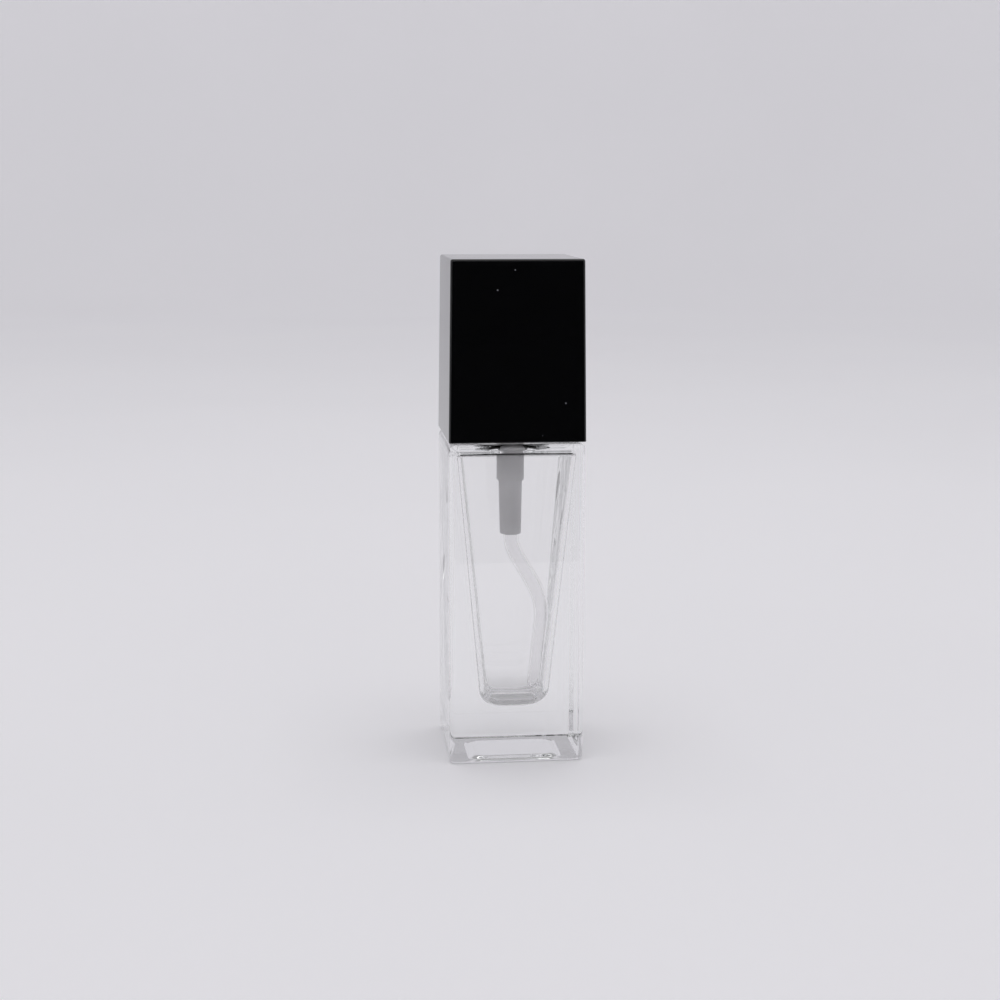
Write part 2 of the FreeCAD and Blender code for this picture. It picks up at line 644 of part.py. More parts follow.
def cap_liner():
    """The plug inside the overcap whose ribs grip the collar and whose ledge rests on it."""
    flange_half = cap_inside_half(liner_bottom + LINER_FLANGE_THICKNESS) - LINER_SIDE_GAP
    flange_corner = CAP_INNER_CORNER + LINER_SIDE_GAP
    flange = square_loft(
        [
            (flange_half, flange_corner, liner_bottom),
            (flange_half, flange_corner, liner_bottom + LINER_FLANGE_THICKNESS),
        ]
    )
    sleeve = rod(liner_radius, liner_bottom, liner_top)
    fin_half = cap_inside_half(liner_top) - LINER_SIDE_GAP
    fin_reach = fin_half * math.sqrt(2) - flange_corner * (math.sqrt(2) - 1)
    fins = []
    for number in range(2):
        fin = Part.makeBox(
            2 * fin_reach,
            LINER_FIN_THICKNESS,
            liner_ledge - liner_bottom,
            Vector(-fin_reach, -LINER_FIN_THICKNESS / 2, liner_bottom),
        )
        fin.rotate(ORIGIN, UP, 45 + 90 * number)
        fins.append(fin)
    liner = flange.fuse([sleeve] + fins)
    liner = liner.cut(rod(liner_bore_radius, liner_bottom - CUT_MARGIN, liner_ledge))
    hole_radius = turret_radius + LINER_LEDGE_GAP
    liner = liner.cut(rod(hole_radius, liner_ledge - CUT_MARGIN, liner_top + CUT_MARGIN))
    ribs = []
    rib_circle = liner_grip_radius + LINER_RIB_RADIUS
    for number in range(LINER_RIB_COUNT):
        centre = point(rib_circle, (number + 0.5) * 360 / LINER_RIB_COUNT, liner_bottom)
        ribs.append(Part.makeCylinder(LINER_RIB_RADIUS, liner_ledge - liner_bottom, centre))
    return liner.fuse(ribs).removeSplitter()


PIECES = (
    glass_bottle,
    gasket,
    pump_housing,
    stem_guide,
    dip_tube,
    return_spring,
    valve_ball,
    pump_stem,
    stem_tip,
    pump_piston,
    screw_collar,
    spray_button,
    spray_insert,
    cap_shell,
    cap_liner,
)


def main():
    """Builds each piece and writes it as one STEP file."""
    os.makedirs(OUTPUT_FOLDER, exist_ok=True)
    for piece in PIECES:
        shape = piece()
        shape.exportStep(os.path.join(OUTPUT_FOLDER, piece.__name__ + ".step"))
        print(f"{piece.__name__}: {len(shape.Solids)} solid, valid {shape.isValid()}, {shape.Volume:.1f} mm3")
    print(f"cavity {bottle_cavity().Volume / 1000:.1f} ml")


main()
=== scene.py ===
"""Square glass spray bottle with a screw-on pump and a black overcap: its looks, its light and its view."""

import math

import bmesh
import bpy
from bpy.props import FloatProperty, FloatVectorProperty, IntProperty, PointerProperty
from mathutils import Euler, Matrix, Vector, noise


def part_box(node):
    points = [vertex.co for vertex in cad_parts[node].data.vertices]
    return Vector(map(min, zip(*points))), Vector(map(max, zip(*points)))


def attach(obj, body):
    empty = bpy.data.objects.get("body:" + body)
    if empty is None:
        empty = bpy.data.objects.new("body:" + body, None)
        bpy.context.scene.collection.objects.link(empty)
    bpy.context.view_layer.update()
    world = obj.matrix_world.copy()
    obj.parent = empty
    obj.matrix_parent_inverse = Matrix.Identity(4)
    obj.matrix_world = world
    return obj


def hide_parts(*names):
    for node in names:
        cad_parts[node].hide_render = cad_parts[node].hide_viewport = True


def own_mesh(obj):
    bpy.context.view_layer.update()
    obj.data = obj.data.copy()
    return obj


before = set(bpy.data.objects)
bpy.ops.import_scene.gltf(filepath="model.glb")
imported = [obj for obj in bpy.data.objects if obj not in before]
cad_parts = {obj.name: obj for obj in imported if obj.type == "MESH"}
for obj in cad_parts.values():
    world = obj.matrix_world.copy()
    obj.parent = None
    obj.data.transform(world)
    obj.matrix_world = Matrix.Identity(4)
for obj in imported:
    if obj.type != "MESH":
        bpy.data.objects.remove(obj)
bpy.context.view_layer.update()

bl_info = {
    "name": "Square spray bottle",
    "version": (1, 0, 0),
    "blender": (4, 5, 0),
    "location": "3D View > Sidebar > Bottle",
    "description": "Builds a square glass spray bottle, its pump and its overcap around their CAD frame",
    "category": "Object",
}

MM = 0.001
SMOOTH_EDGE = 0.06  # how far the support rings stand from an edge, in millimetres
ON_AXIS = 1e-6  # a radius that counts as none
ARC_STEPS = 5  # steps in a rounded corner of a turned outline
LONGEST_ROUNDING = 0.45  # the share of a run that a rounding may use up
SAME_POINT = 0.002  # points closer than this are merged
SLIP = 0.02  # room round the stem in the button's socket, so that their facets don't cross as it turns
LEDGE_THICKNESS = 1.4  # of the liner's ledge, which the collar stands under
CHAMBER_BORE = 3.8  # inside radius of the pump's piston chamber
LIP = 0.5  # rounding of the neck's rim, inside and outside
SHARP_FROM = math.radians(35)  # edges at least this sharp stay sharp
CORNER_STEPS = 10
SIDE_SHARES = (0.02, 0.1, 0.22, 0.36, 0.5, 0.64, 0.78, 0.9, 0.98)
RING_POINTS = 4 * (CORNER_STEPS + 1 + len(SIDE_SHARES))


def node_box(node):
    """The lowest and highest corners of a CAD node, in millimetres."""
    low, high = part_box(node)
    return low / MM, high / MM


BOTTLE_LOW, BOTTLE_HIGH = node_box("glass_bottle")
CAP_LOW, CAP_HIGH = node_box("cap_shell")
LINER_LOW, LINER_HIGH = node_box("cap_liner")
COLLAR_LOW, COLLAR_HIGH = node_box("screw_collar")
BUTTON_LOW, BUTTON_HIGH = node_box("spray_button")
INSERT_LOW, INSERT_HIGH = node_box("spray_insert")
HOUSING_LOW, HOUSING_HIGH = node_box("pump_housing")
GUIDE_LOW, GUIDE_HIGH = node_box("stem_guide")
GASKET_LOW, GASKET_HIGH = node_box("gasket")
STEM_LOW, STEM_HIGH = node_box("pump_stem")
TIP_LOW, TIP_HIGH = node_box("stem_tip")
PISTON_LOW, PISTON_HIGH = node_box("pump_piston")
SPRING_LOW, SPRING_HIGH = node_box("return_spring")
BALL_LOW, BALL_HIGH = node_box("valve_ball")
TUBE_LOW, TUBE_HIGH = node_box("dip_tube")


def millimetres(label, about, size):
    """A length setting, given in millimetres and kept in metres."""
    return FloatProperty(name=label, description=about, default=size * MM, unit="LENGTH", subtype="DISTANCE")


def plain_number(label, about, value, **kind):
    """A plain number setting."""
    return FloatProperty(name=label, description=about, default=value, **kind)


def colour(label, about, value):
    """A linear colour setting."""
    return FloatVectorProperty(
        name=label, description=about, default=value, min=0, max=1, size=3, subtype="COLOR"
    )


class BottleSettings(bpy.types.PropertyGroup):
    """Sizes and colour of the glass."""

    corner_radius: millimetres("Corner radius", "Radius of the upright outside edges", 1.5)
    shoulder_radius: millimetres("Shoulder radius", "Radius of the edge round the shoulder", 1.4)
    foot_radius: millimetres("Foot radius", "Radius of the edge round the foot", 1.0)
    shoulder_height: millimetres("Shoulder height", "Height of the flat shoulder", 76.6)
    floor_height: millimetres("Floor height", "Thickness of the glass under the hollow", 11.8)
    ceiling_height: millimetres("Ceiling height", "Height of the hollow's flat ceiling", 74.4)
    wall_at_shoulder: millimetres("Wall at shoulder", "Wall thickness at the ceiling", 1.9)
    wall_at_floor: millimetres("Wall at floor", "Wall thickness where the floor begins", 7.9)
    floor_radius: millimetres("Floor radius", "Radius between the walls and the floor", 4.8)
    ceiling_radius: millimetres("Ceiling radius", "Radius between the walls and the ceiling", 0.9)
    push_up: millimetres("Push-up", "Depth of the shallow recess under the foot", 0.6)
    neck_radius: millimetres("Neck radius", "Radius of the neck under its thread", 8.8)
    bore_radius: millimetres("Bore radius", "Radius of the hole through the neck", 5.6)
    thread_pitch: millimetres("Thread pitch", "Rise of the thread in one turn", 3.2)
    thread_depth: millimetres("Thread depth", "How far the thread stands out", 1.1)
    thread_start: millimetres("Thread start", "Height at which the thread starts", 82.8)
    thread_turns: plain_number("Thread turns", "Turns of the thread", 1.25)
    ripple: millimetres("Ripple", "Unevenness of the blown inner walls", 0.035)
    tint: colour("Tint", "Colour of light that has crossed the glass", (0.94, 0.97, 0.955))


class CapSettings(bpy.types.PropertyGroup):
    """Sizes and colours of the overcap and its liner."""

    draft: millimetres("Draft", "How much narrower the cap is at its top, on each side", 0.55)
    edge_radius: millimetres("Edge radius", "Radius of the outside edges", 0.6)
    rim_radius: millimetres("Rim radius", "Radius of the edges of the open rim", 0.2)
    wall: millimetres("Wall", "Thickness of the side walls", 1.9)
    roof: millimetres("Roof", "Thickness of the top", 2.0)
    inner_corner: millimetres("Inner corner", "Radius of the inside corners", 1.6)
    black: colour("Black", "Colour of the glossy black plastic", (0.0018, 0.0019, 0.0022))
    liner: colour("Liner", "Colour of the satin black liner", (0.004, 0.004, 0.0045))


class PumpSettings(bpy.types.PropertyGroup):
    """Sizes, counts and colours of the pump and its closure."""

    knurl_count: IntProperty(name="Knurls", description="Grip ribs round the collar", default=48, min=3)
    liner_ribs: IntProperty(name="Liner ribs", description="Grip ribs inside the liner", default=12, min=3)
    coils: plain_number("Coils", "Turns of wire in the spring", 9.5, min=2)
    wire_radius: millimetres("Wire radius", "Radius of the spring's wire", 0.25)
    tube_radius: millimetres("Tube radius", "Outside radius of the dip tube", 1.8)
    tube_wall: millimetres("Tube wall", "Wall thickness of the dip tube", 0.5)
    white: colour("White", "Colour of the moulded pump parts", (0.92, 0.905, 0.92))
    black: colour("Black", "Colour of the collar and the button", (0.006, 0.006, 0.007))


class StageSettings(bpy.types.PropertyGroup):
    """The backdrop, the light and the view."""

    backdrop: colour("Backdrop", "Colour of the floor and the sweep behind it", (0.80, 0.793, 0.815))
    floor_radius: millimetres("Floor radius", "Where the floor turns up", 1500.0)
    glow: plain_number("Glow", "How much the backdrop shines by itself", 0.22)
    sky: plain_number("Sky", "Strength of the even light from above", 0.43)
    softbox_power: plain_number("Softbox", "Power of the light overhead in watts", 4.9)
    lens: plain_number("Lens", "Focal length in millimetres", 63.95)
    camera_x: millimetres("Camera X", "Where the camera stands", -49.55)
    camera_y: millimetres("Camera Y", "Where the camera stands", -420.3)
    camera_z: millimetres("Camera Z", "Where the camera stands", 135.2)
    yaw: plain_number("Yaw", "How far the camera turns right of +Y", math.radians(6.385), subtype="ANGLE")
    pitch: plain_number("Pitch", "How far the camera looks down", math.radians(9.958), subtype="ANGLE")
    roll: plain_number("Roll", "How far the camera leans", math.radians(-0.1), subtype="ANGLE")


# Meshes


def square_ring(half, corner, height):
    """Points round a square with round corners, centred on the axis, in millimetres."""
    corner = max(corner, 1e-4)
    straight = half - corner
    points = []
    for quarter in range(4):
        turn = Matrix.Rotation(math.radians(90 * quarter), 3, "Z")
        for step in range(CORNER_STEPS + 1):
            angle = math.radians(90 * step / CORNER_STEPS)
            across = straight + corner * math.cos(angle)
            along = straight + corner * math.sin(angle)
            points.append(turn @ Vector((across, along, height)))
        for part in SIDE_SHARES:
            points.append(turn @ Vector((straight * (1 - 2 * part), half, height)))
    return points


def round_ring(radius, height):
    """Points round a circle that pair with those of a square ring."""
    points = []
    for number in range(RING_POINTS):
        angle = math.radians(45 + (number - CORNER_STEPS / 2) * 360 / RING_POINTS)
        points.append(Vector((radius * math.cos(angle), radius * math.sin(angle), height)))
    return points


def smoothed(shape):
    """The shape with smooth shading on all its faces."""
    for face in shape.faces:
        face.smooth = True
    return shape


def placed(shape, x=0.0, y=0.0, z=0.0, size=None):
    """The shape scaled to a size and moved, both in millimetres."""
    if size is not None:
        bmesh.ops.scale(shape, verts=shape.verts, vec=Vector(size) * MM)
    bmesh.ops.translate(shape, verts=shape.verts, vec=Vector((x, y, z)) * MM)
    return shape


def soft_block(x, y, z, size, edge):
    """A block of a size round a point, with its edges bevelled, in millimetres."""
    shape = bmesh.new()
    bmesh.ops.create_cube(shape, size=1.0)
    placed(shape, x, y, z, size)
    bmesh.ops.bevel(shape, geom=shape.edges, offset=edge * MM, segments=2, affect="EDGES")
    return shape


def skin(rings, first_pole=None, last_pole=None):
    """A closed mesh in metres through rings of equally many points, in millimetres.

    A pole closes an end. Without poles the last ring joins the first.
    """
    shape = bmesh.new()
    rows = [[shape.verts.new(point * MM) for point in ring] for ring in rings]
    count = len(rings[0])
    pairs = list(zip(rows, rows[1:]))
    if first_pole is None:
        pairs.append((rows[-1], rows[0]))
    for lower, upper in pairs:
        for number in range(count):
            after = (number + 1) % count
            shape.faces.new((lower[number], lower[after], upper[after], upper[number]))
    if first_pole is not None:
        start = shape.verts.new(first_pole * MM)
        end = shape.verts.new(last_pole * MM)
        for number in range(count):
            after = (number + 1) % count
            shape.faces.new((start, rows[0][after], rows[0][number]))
            shape.faces.new((end, rows[-1][number], rows[-1][after]))
    return smoothed(shape)


def object_from(shape, name, material):
    """A scene object from a bmesh, with one material."""
    mesh = bpy.data.meshes.new(name)
    shape.to_mesh(mesh)
    shape.free()
    mesh.materials.append(material)
    piece = bpy.data.objects.new(name, mesh)
    bpy.context.scene.collection.objects.link(piece)
    return piece


def rounded_outline(corners):
    """An outline of (radius, height, rounding) corners, with each corner turned into a short arc."""
    points = []
    count = len(corners)
    for number, (x, z, rounding) in enumerate(corners):
        here = Vector((x, z))
        if rounding <= 0:
            points.append(here)
            continue
        before = Vector(corners[number - 1][:2])
        after = Vector(corners[(number + 1) % count][:2])
        back = (before - here).normalized()
        onward = (after - here).normalized()
        half_angle = back.angle(onward) / 2
        room = LONGEST_ROUNDING * min((before - here).length, (after - here).length)
        reach = min(rounding / math.tan(half_angle), room)
        radius = reach * math.tan(half_angle)
        centre = here + (back + onward).normalized() * (radius / math.sin(half_angle))
        start = here + back * reach - centre
        end = here + onward * reach - centre
        sweep = start.angle_signed(end)
        for step in range(ARC_STEPS + 1):
            turned = start.copy()
            turned.rotate(Matrix.Rotation(-sweep * step / ARC_STEPS, 2))
            points.append(centre + turned)
    return points


def supported(points):
    """The outline with two extra points near the ends of each long run, so flats shade flat."""
    result = []
    for here, after in zip(points, points[1:] + points[:1]):
        result.append(here)
        length = (after - here).length
        if length > 4 * SMOOTH_EDGE:
            way = (after - here) / length
            result += (here + way * SMOOTH_EDGE, after - way * SMOOTH_EDGE)
    return result


def lathe(corners, segments=96):
    """A closed turned shape from an outline of (radius, height, rounding) corners, counter-clockwise."""
    outline = supported(rounded_outline(corners))
    shape = bmesh.new()
    rows = []
    for point in outline:
        if point.x < ON_AXIS:
            rows.append([shape.verts.new(Vector((0, 0, point.y)) * MM)])
            continue
        row = []
        for number in range(segments):
            angle = 2 * math.pi * number / segments
            spot = Vector((point.x * math.cos(angle), point.x * math.sin(angle), point.y))
            row.append(shape.verts.new(spot * MM))
        rows.append(row)
    for lower, upper in zip(rows, rows[1:] + rows[:1]):
        if len(lower) == 1 and len(upper) == 1:
            continue
        for number in range(segments):
            after = (number + 1) % segments
            corners_of_face = []
            for row, spot in ((lower, number), (lower, after), (upper, after), (upper, number)):
                vertex = row[spot % len(row)]
                if vertex not in corners_of_face:
                    corners_of_face.append(vertex)
            shape.faces.new(corners_of_face)
    return smoothed(shape)


def merged(piece, *others):
    """Joins other pieces into the first one."""
    shape = bmesh.new()
    for part in (piece, *others):
        shape.from_mesh(part.data)
    shape.to_mesh(piece.data)
    shape.free()
    for part in others:
        bpy.data.objects.remove(part)
    return piece


def cut_by(piece, *cutters):
    """Cuts other closed pieces out of the first one."""
    for cutter in cutters:
        cut = piece.modifiers.new("cut", "BOOLEAN")
        cut.operation = "DIFFERENCE"
        cut.solver = "EXACT"
        cut.object = cutter
    return baked(piece, *cutters)


def baked(piece, *spent):
    """Turns a piece's modifiers into a plain mesh and removes them, and removes what they used."""
    bpy.context.view_layer.update()
    graph = bpy.context.evaluated_depsgraph_get()
    mesh = bpy.data.meshes.new_from_object(piece.evaluated_get(graph), depsgraph=graph)
    mesh.name = piece.name
    if piece.type == "MESH":
        piece.modifiers.clear()
        piece.data = mesh
    else:
        name = piece.name
        bpy.data.objects.remove(piece)
        piece = bpy.data.objects.new(name, mesh)
        bpy.context.scene.collection.objects.link(piece)
    for other in spent:
        bpy.data.objects.remove(other)
    return piece


def tidied(piece):
    """Merges doubles, turns all faces outwards and shades the piece smooth up to sharp edges."""
    shape = bmesh.new()
    shape.from_mesh(piece.data)
    bmesh.ops.remove_doubles(shape, verts=shape.verts, dist=SAME_POINT * MM)
    bmesh.ops.recalc_face_normals(shape, faces=shape.faces)
    smoothed(shape)
    for edge in shape.edges:
        edge.smooth = len(edge.link_faces) == 2 and edge.calc_face_angle(0) < SHARP_FROM
    shape.to_mesh(piece.data)
    shape.free()
    return piece


# Geometry node trees


def new_tree(name, inputs):
    """An empty geometry node tree with a geometry input and output and named inputs."""
    tree = bpy.data.node_groups.new(name, "GeometryNodeTree")
    tree.is_modifier = True
    tree.interface.new_socket("Geometry", in_out="INPUT", socket_type="NodeSocketGeometry")
    for label, kind in inputs:
        tree.interface.new_socket(label, in_out="INPUT", socket_type="NodeSocket" + kind)
    tree.interface.new_socket("Geometry", in_out="OUTPUT", socket_type="NodeSocketGeometry")
    return tree


def add_node(tree, kind, *feeds, **settings):
    """A node with its settings, fed by (input, socket or value) pairs."""
    made = tree.nodes.new(kind)
    for key, value in settings.items():
        setattr(made, key, value)
    for name, feed in feeds:
        socket = made.inputs[name]
        if isinstance(feed, bpy.types.NodeSocket):
            tree.links.new(feed, socket)
        else:
            socket.default_value = feed
    return made


def calc(tree, operation, first, second=0.0):
    """A maths node's result."""
    return add_node(tree, "ShaderNodeMath", (0, first), (1, second), operation=operation).outputs[0]


def circle(tree, points, radius):
    """A round section for a wire or a tube."""
    feeds = (("Resolution", points), ("Radius", radius))
    return add_node(tree, "GeometryNodeCurvePrimitiveCircle", *feeds, mode="RADIUS").outputs[0]


def finish_tree(tree, geometry, source):
    """Ends a tree in real geometry with a material."""
    real = add_node(tree, "GeometryNodeRealizeInstances", ("Geometry", geometry))
    coated = add_node(
        tree, "GeometryNodeSetMaterial", ("Geometry", real.outputs["Geometry"]),
        ("Material", source.outputs["Material"]),
    )
    add_node(tree, "NodeGroupOutput", ("Geometry", coated.outputs["Geometry"]))
    return tree


def ring_of_copies_tree():
    """Repeats the piece it is given evenly round the Z axis."""
    tree = new_tree("RingOfCopies", (("Count", "Int"), ("First Angle", "Float"), ("Material", "Material")))
    source = add_node(tree, "NodeGroupInput")
    spots = add_node(tree, "GeometryNodePoints", ("Count", source.outputs["Count"]))
    number = add_node(tree, "GeometryNodeInputIndex").outputs[0]
    step = calc(tree, "DIVIDE", 2 * math.pi, source.outputs["Count"])
    angle = calc(tree, "MULTIPLY_ADD", number, step)
    tree.links.new(source.outputs["First Angle"], angle.node.inputs[2])
    turn = add_node(tree, "ShaderNodeCombineXYZ", ("Z", angle))
    copies = add_node(
        tree, "GeometryNodeInstanceOnPoints", ("Points", spots.outputs[0]),
        ("Instance", source.outputs["Geometry"]), ("Rotation", turn.outputs[0]),
    )
    return finish_tree(tree, copies.outputs["Instances"], source)


def ring_tree():
    """The tree that repeats a piece round Z, made the first time that it is wanted."""
    return bpy.data.node_groups.get("RingOfCopies") or ring_of_copies_tree()


def coil_spring_tree():
    """A wire coil with closed ends, standing on the height it is given."""
    inputs = (
        ("Coil Radius", "Float"), ("Wire Radius", "Float"), ("Turns", "Float"), ("Foot", "Float"),
        ("Height", "Float"), ("Material", "Material"),
    )
    tree = new_tree("CoilSpring", inputs)
    source = add_node(tree, "NodeGroupInput")
    take = source.outputs
    spiral = add_node(
        tree, "GeometryNodeCurveSpiral", ("Resolution", 32), ("Rotations", take["Turns"]),
        ("Start Radius", take["Coil Radius"]), ("End Radius", take["Coil Radius"]), ("Height", 0.0),
    )
    along = add_node(tree, "GeometryNodeSplineParameter").outputs["Factor"]
    wire = calc(tree, "MULTIPLY", take["Wire Radius"], 2.0)
    rise = calc(tree, "SUBTRACT", take["Height"], wire)
    closed = calc(tree, "MULTIPLY", wire, take["Turns"])
    open_rise = calc(tree, "SUBTRACT", rise, closed)
    spread = add_node(
        tree, "ShaderNodeMapRange", ("Value", along), ("From Min", 0.08), ("From Max", 0.92),
        ("To Min", 0.0), ("To Max", open_rise), interpolation_type="SMOOTHSTEP",
    ).outputs[0]
    height = calc(tree, "ADD", calc(tree, "MULTIPLY", closed, along), spread)
    height = calc(tree, "ADD", height, calc(tree, "ADD", take["Foot"], take["Wire Radius"]))
    lift = add_node(tree, "ShaderNodeCombineXYZ", ("Z", height))
    coil = add_node(
        tree, "GeometryNodeSetPosition", ("Geometry", spiral.outputs[0]), ("Offset", lift.outputs[0])
    ).outputs[0]
    section = circle(tree, 14, take["Wire Radius"])
    wire_mesh = add_node(
        tree, "GeometryNodeCurveToMesh", ("Curve", coil), ("Profile Curve", section), ("Fill Caps", True)
    )
    return finish_tree(tree, wire_mesh.outputs[0], source)


def hollow_tube_tree():
    """A tube with a wall of even thickness along the curve it is given."""
    tree = new_tree("HollowTube", (("Radius", "Float"), ("Wall", "Float"), ("Material", "Material")))
    source = add_node(tree, "NodeGroupInput")
    take = source.outputs
    path = add_node(
        tree, "GeometryNodeResampleCurve", ("Curve", take["Geometry"]), ("Count", 120), mode="COUNT"
    ).outputs[0]
    section = circle(tree, 40, take["Radius"])
    feeds = (("Curve", path), ("Profile Curve", section))
    outside = add_node(tree, "GeometryNodeCurveToMesh", *feeds).outputs[0]
    depth = calc(tree, "MULTIPLY", take["Wall"], -1.0)
    pushed = add_node(
        tree, "GeometryNodeExtrudeMesh", ("Mesh", outside), ("Offset Scale", depth), ("Individual", False)
    ).outputs["Mesh"]
    inside = add_node(tree, "GeometryNodeFlipFaces", ("Mesh", pushed)).outputs[0]
    both = tree.nodes.new("GeometryNodeJoinGeometry")
    tree.links.new(outside, both.inputs[0])
    tree.links.new(inside, both.inputs[0])
    welded = add_node(
        tree, "GeometryNodeMergeByDistance", ("Geometry", both.outputs[0]), ("Distance", 0.001 * MM)
    )
    return finish_tree(tree, welded.outputs[0], source)


def grown(piece, tree, **values):
    """Runs a node tree on a piece, with its inputs by name, and leaves a plain mesh."""
    modifier = piece.modifiers.new(tree.name, "NODES")
    modifier.node_group = tree
    for item in tree.interface.items_tree:
        key = item.name.replace(" ", "_").lower()
        if item.item_type == "SOCKET" and item.in_out == "INPUT" and key in values:
            modifier[item.identifier] = values[key]
    return tidied(baked(piece))


# Materials


def plain_material(name):
    """A new material with its node tree and shader."""
    made = bpy.data.materials.new(name)
    made.use_nodes = True
    return made, made.node_tree, made.node_tree.nodes["Principled BSDF"]


def object_point(tree):
    """The piece's own coordinates, in metres."""
    return tree.nodes.new("ShaderNodeTexCoord").outputs["Object"]


def noise_at(tree, scale, detail=3.0, stretch=None):
    """A noise value, its scale in features per metre, drawn out along an axis if stretch is given."""
    point = object_point(tree)
    if stretch is not None:
        point = add_node(tree, "ShaderNodeMapping", ("Vector", point), ("Scale", stretch)).outputs[0]
    feeds = (("Vector", point), ("Scale", scale), ("Detail", detail), ("Roughness", 0.55))
    return add_node(tree, "ShaderNodeTexNoise", *feeds).outputs["Fac"]


def between(tree, value, low, high, from_low=0.3, from_high=0.7):
    """A value brought into a range."""
    return add_node(
        tree, "ShaderNodeMapRange", ("Value", value), ("From Min", from_low), ("From Max", from_high),
        ("To Min", low), ("To Max", high),
    ).outputs[0]


def mixed(tree, amount, first, second):
    """One colour laid over another by an amount."""
    made = tree.nodes.new("ShaderNodeMix")
    made.data_type = "RGBA"
    for spot, feed in ((0, amount), (6, first), (7, second)):
        if isinstance(feed, bpy.types.NodeSocket):
            tree.links.new(feed, made.inputs[spot])
        else:
            made.inputs[spot].default_value = feed
    return made.outputs[2]


def rgba(values, factor=1.0):
    """A linear colour with full alpha."""
    return tuple(min(1.0, value * factor) for value in values) + (1.0,)


def bumped(tree, shader, height, distance, strength=1.0):
    """Gives a shader relief from a height between 0 and 1 and its depth in millimetres."""
    relief = add_node(
        tree, "ShaderNodeBump", ("Height", height), ("Distance", distance * MM), ("Strength", strength)
    )
    tree.links.new(relief.outputs[0], shader.inputs["Normal"])


def moulded(name, base, roughness, spread=0.06, grain=900.0, relief=0.004, ior=1.49, **constants):
    """Moulded plastic: a little mottled, with a fine grain in its gloss and its surface."""
    made, tree, shader = plain_material(name)
    patch = noise_at(tree, 160.0, 2.0)
    tint = mixed(tree, between(tree, patch, 0.0, 1.0), rgba(base, 1 - spread), rgba(base, 1 + spread))
    tree.links.new(tint, shader.inputs["Base Color"])
    gloss = noise_at(tree, grain * 0.5, 4.0)
    tree.links.new(between(tree, gloss, roughness * 0.8, roughness * 1.25), shader.inputs["Roughness"])
    bumped(tree, shader, noise_at(tree, grain * 2.5, 4.0), relief)
    shader.inputs["IOR"].default_value = ior
    for label, value in constants.items():
        shader.inputs[label.replace("_", " ")].default_value = value
    return made


def clear_glass(tint):
    """Clear soda glass, faintly green in the thick, with a very slight ripple."""
    made, tree, shader = plain_material("clear_glass")
    cloud = noise_at(tree, 90.0, 2.0)
    base = mixed(tree, between(tree, cloud, 0.0, 1.0), (0.995, 0.996, 0.995, 1), (1, 1, 1, 1))
    tree.links.new(base, shader.inputs["Base Color"])
    shader.inputs["Transmission Weight"].default_value = 1.0
    shader.inputs["IOR"].default_value = 1.51
    shader.inputs["Roughness"].default_value = 0.0
    bumped(tree, shader, noise_at(tree, 120.0, 2.0, (1.0, 1.0, 0.45)), 0.006)
    depth = tree.nodes.new("ShaderNodeVolumeAbsorption")
    depth.inputs["Color"].default_value = rgba(tint)
    depth.inputs["Density"].default_value = 4.0
    tree.links.new(depth.outputs[0], tree.nodes["Material Output"].inputs["Volume"])
    return made


def dust_spots(tree, scale, size, shift=(0.0, 0.013, 0.007), kept_share=0.7):
    """Sparse small round specks: 1 on a speck and 0 off it."""
    feeds = (("Vector", object_point(tree)), ("Location", shift))
    point = add_node(tree, "ShaderNodeMapping", *feeds).outputs[0]
    cells = add_node(tree, "ShaderNodeTexVoronoi", ("Vector", point), ("Scale", scale), ("Randomness", 1.0))
    inside = calc(tree, "LESS_THAN", cells.outputs["Distance"], size)
    parts = add_node(tree, "ShaderNodeSeparateColor", ("Color", cells.outputs["Color"]))
    chosen = calc(tree, "GREATER_THAN", parts.outputs[0], 1 - kept_share)
    return calc(tree, "MULTIPLY", inside, chosen)


def polished_black(name, base):
    """High-gloss black plastic with hairline scuffs and a few specks of dust."""
    made, tree, shader = plain_material(name)
    specks = dust_spots(tree, 260.0, 0.042)
    tint = mixed(tree, specks, rgba(base), (0.22, 0.23, 0.25, 1))
    tree.links.new(tint, shader.inputs["Base Color"])
    haze = between(tree, noise_at(tree, 70.0, 4.0, (1.0, 1.0, 0.35)), 0.045, 0.085)
    rough = calc(tree, "MAXIMUM", haze, calc(tree, "MULTIPLY", specks, 0.6))
    tree.links.new(rough, shader.inputs["Roughness"])
    hairs = noise_at(tree, 4200.0, 2.0, (1.0, 1.0, 0.06))
    bumped(tree, shader, hairs, 0.0006, 0.5)
    shader.inputs["IOR"].default_value = 1.5
    return made


def drawn_steel(name, base, roughness):
    """Bright steel with fine drawing marks."""
    made, tree, shader = plain_material(name)
    marks = noise_at(tree, 2600.0, 4.0, (1.0, 1.0, 0.2))
    tint = mixed(tree, between(tree, marks, 0.0, 1.0), rgba(base, 0.85), rgba(base, 1.1))
    tree.links.new(tint, shader.inputs["Base Color"])
    tree.links.new(between(tree, marks, roughness * 0.7, roughness * 1.4), shader.inputs["Roughness"])
    shader.inputs["Metallic"].default_value = 1.0
    bumped(tree, shader, marks, 0.002)
    return made


# Pieces


def kept(piece, body, slot_name, *nodes):
    """Hangs a finished piece on the body it rides on and hides the CAD nodes that it replaces."""
    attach(piece, body)
    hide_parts(*nodes)
    return piece


def arc_steps(count, start=0.0, end=90.0):
    """Angles in radians from start to end degrees."""
    return [math.radians(start + (end - start) * step / count) for step in range(count + 1)]


def round_edge(radius, count, start=0.0, end=90.0):
    """Two insets for each step round an edge: the first grows from nothing, the second shrinks to it."""
    return [(radius * (1 - math.cos(a)), radius * (1 - math.sin(a))) for a in arc_steps(count, start, end)]


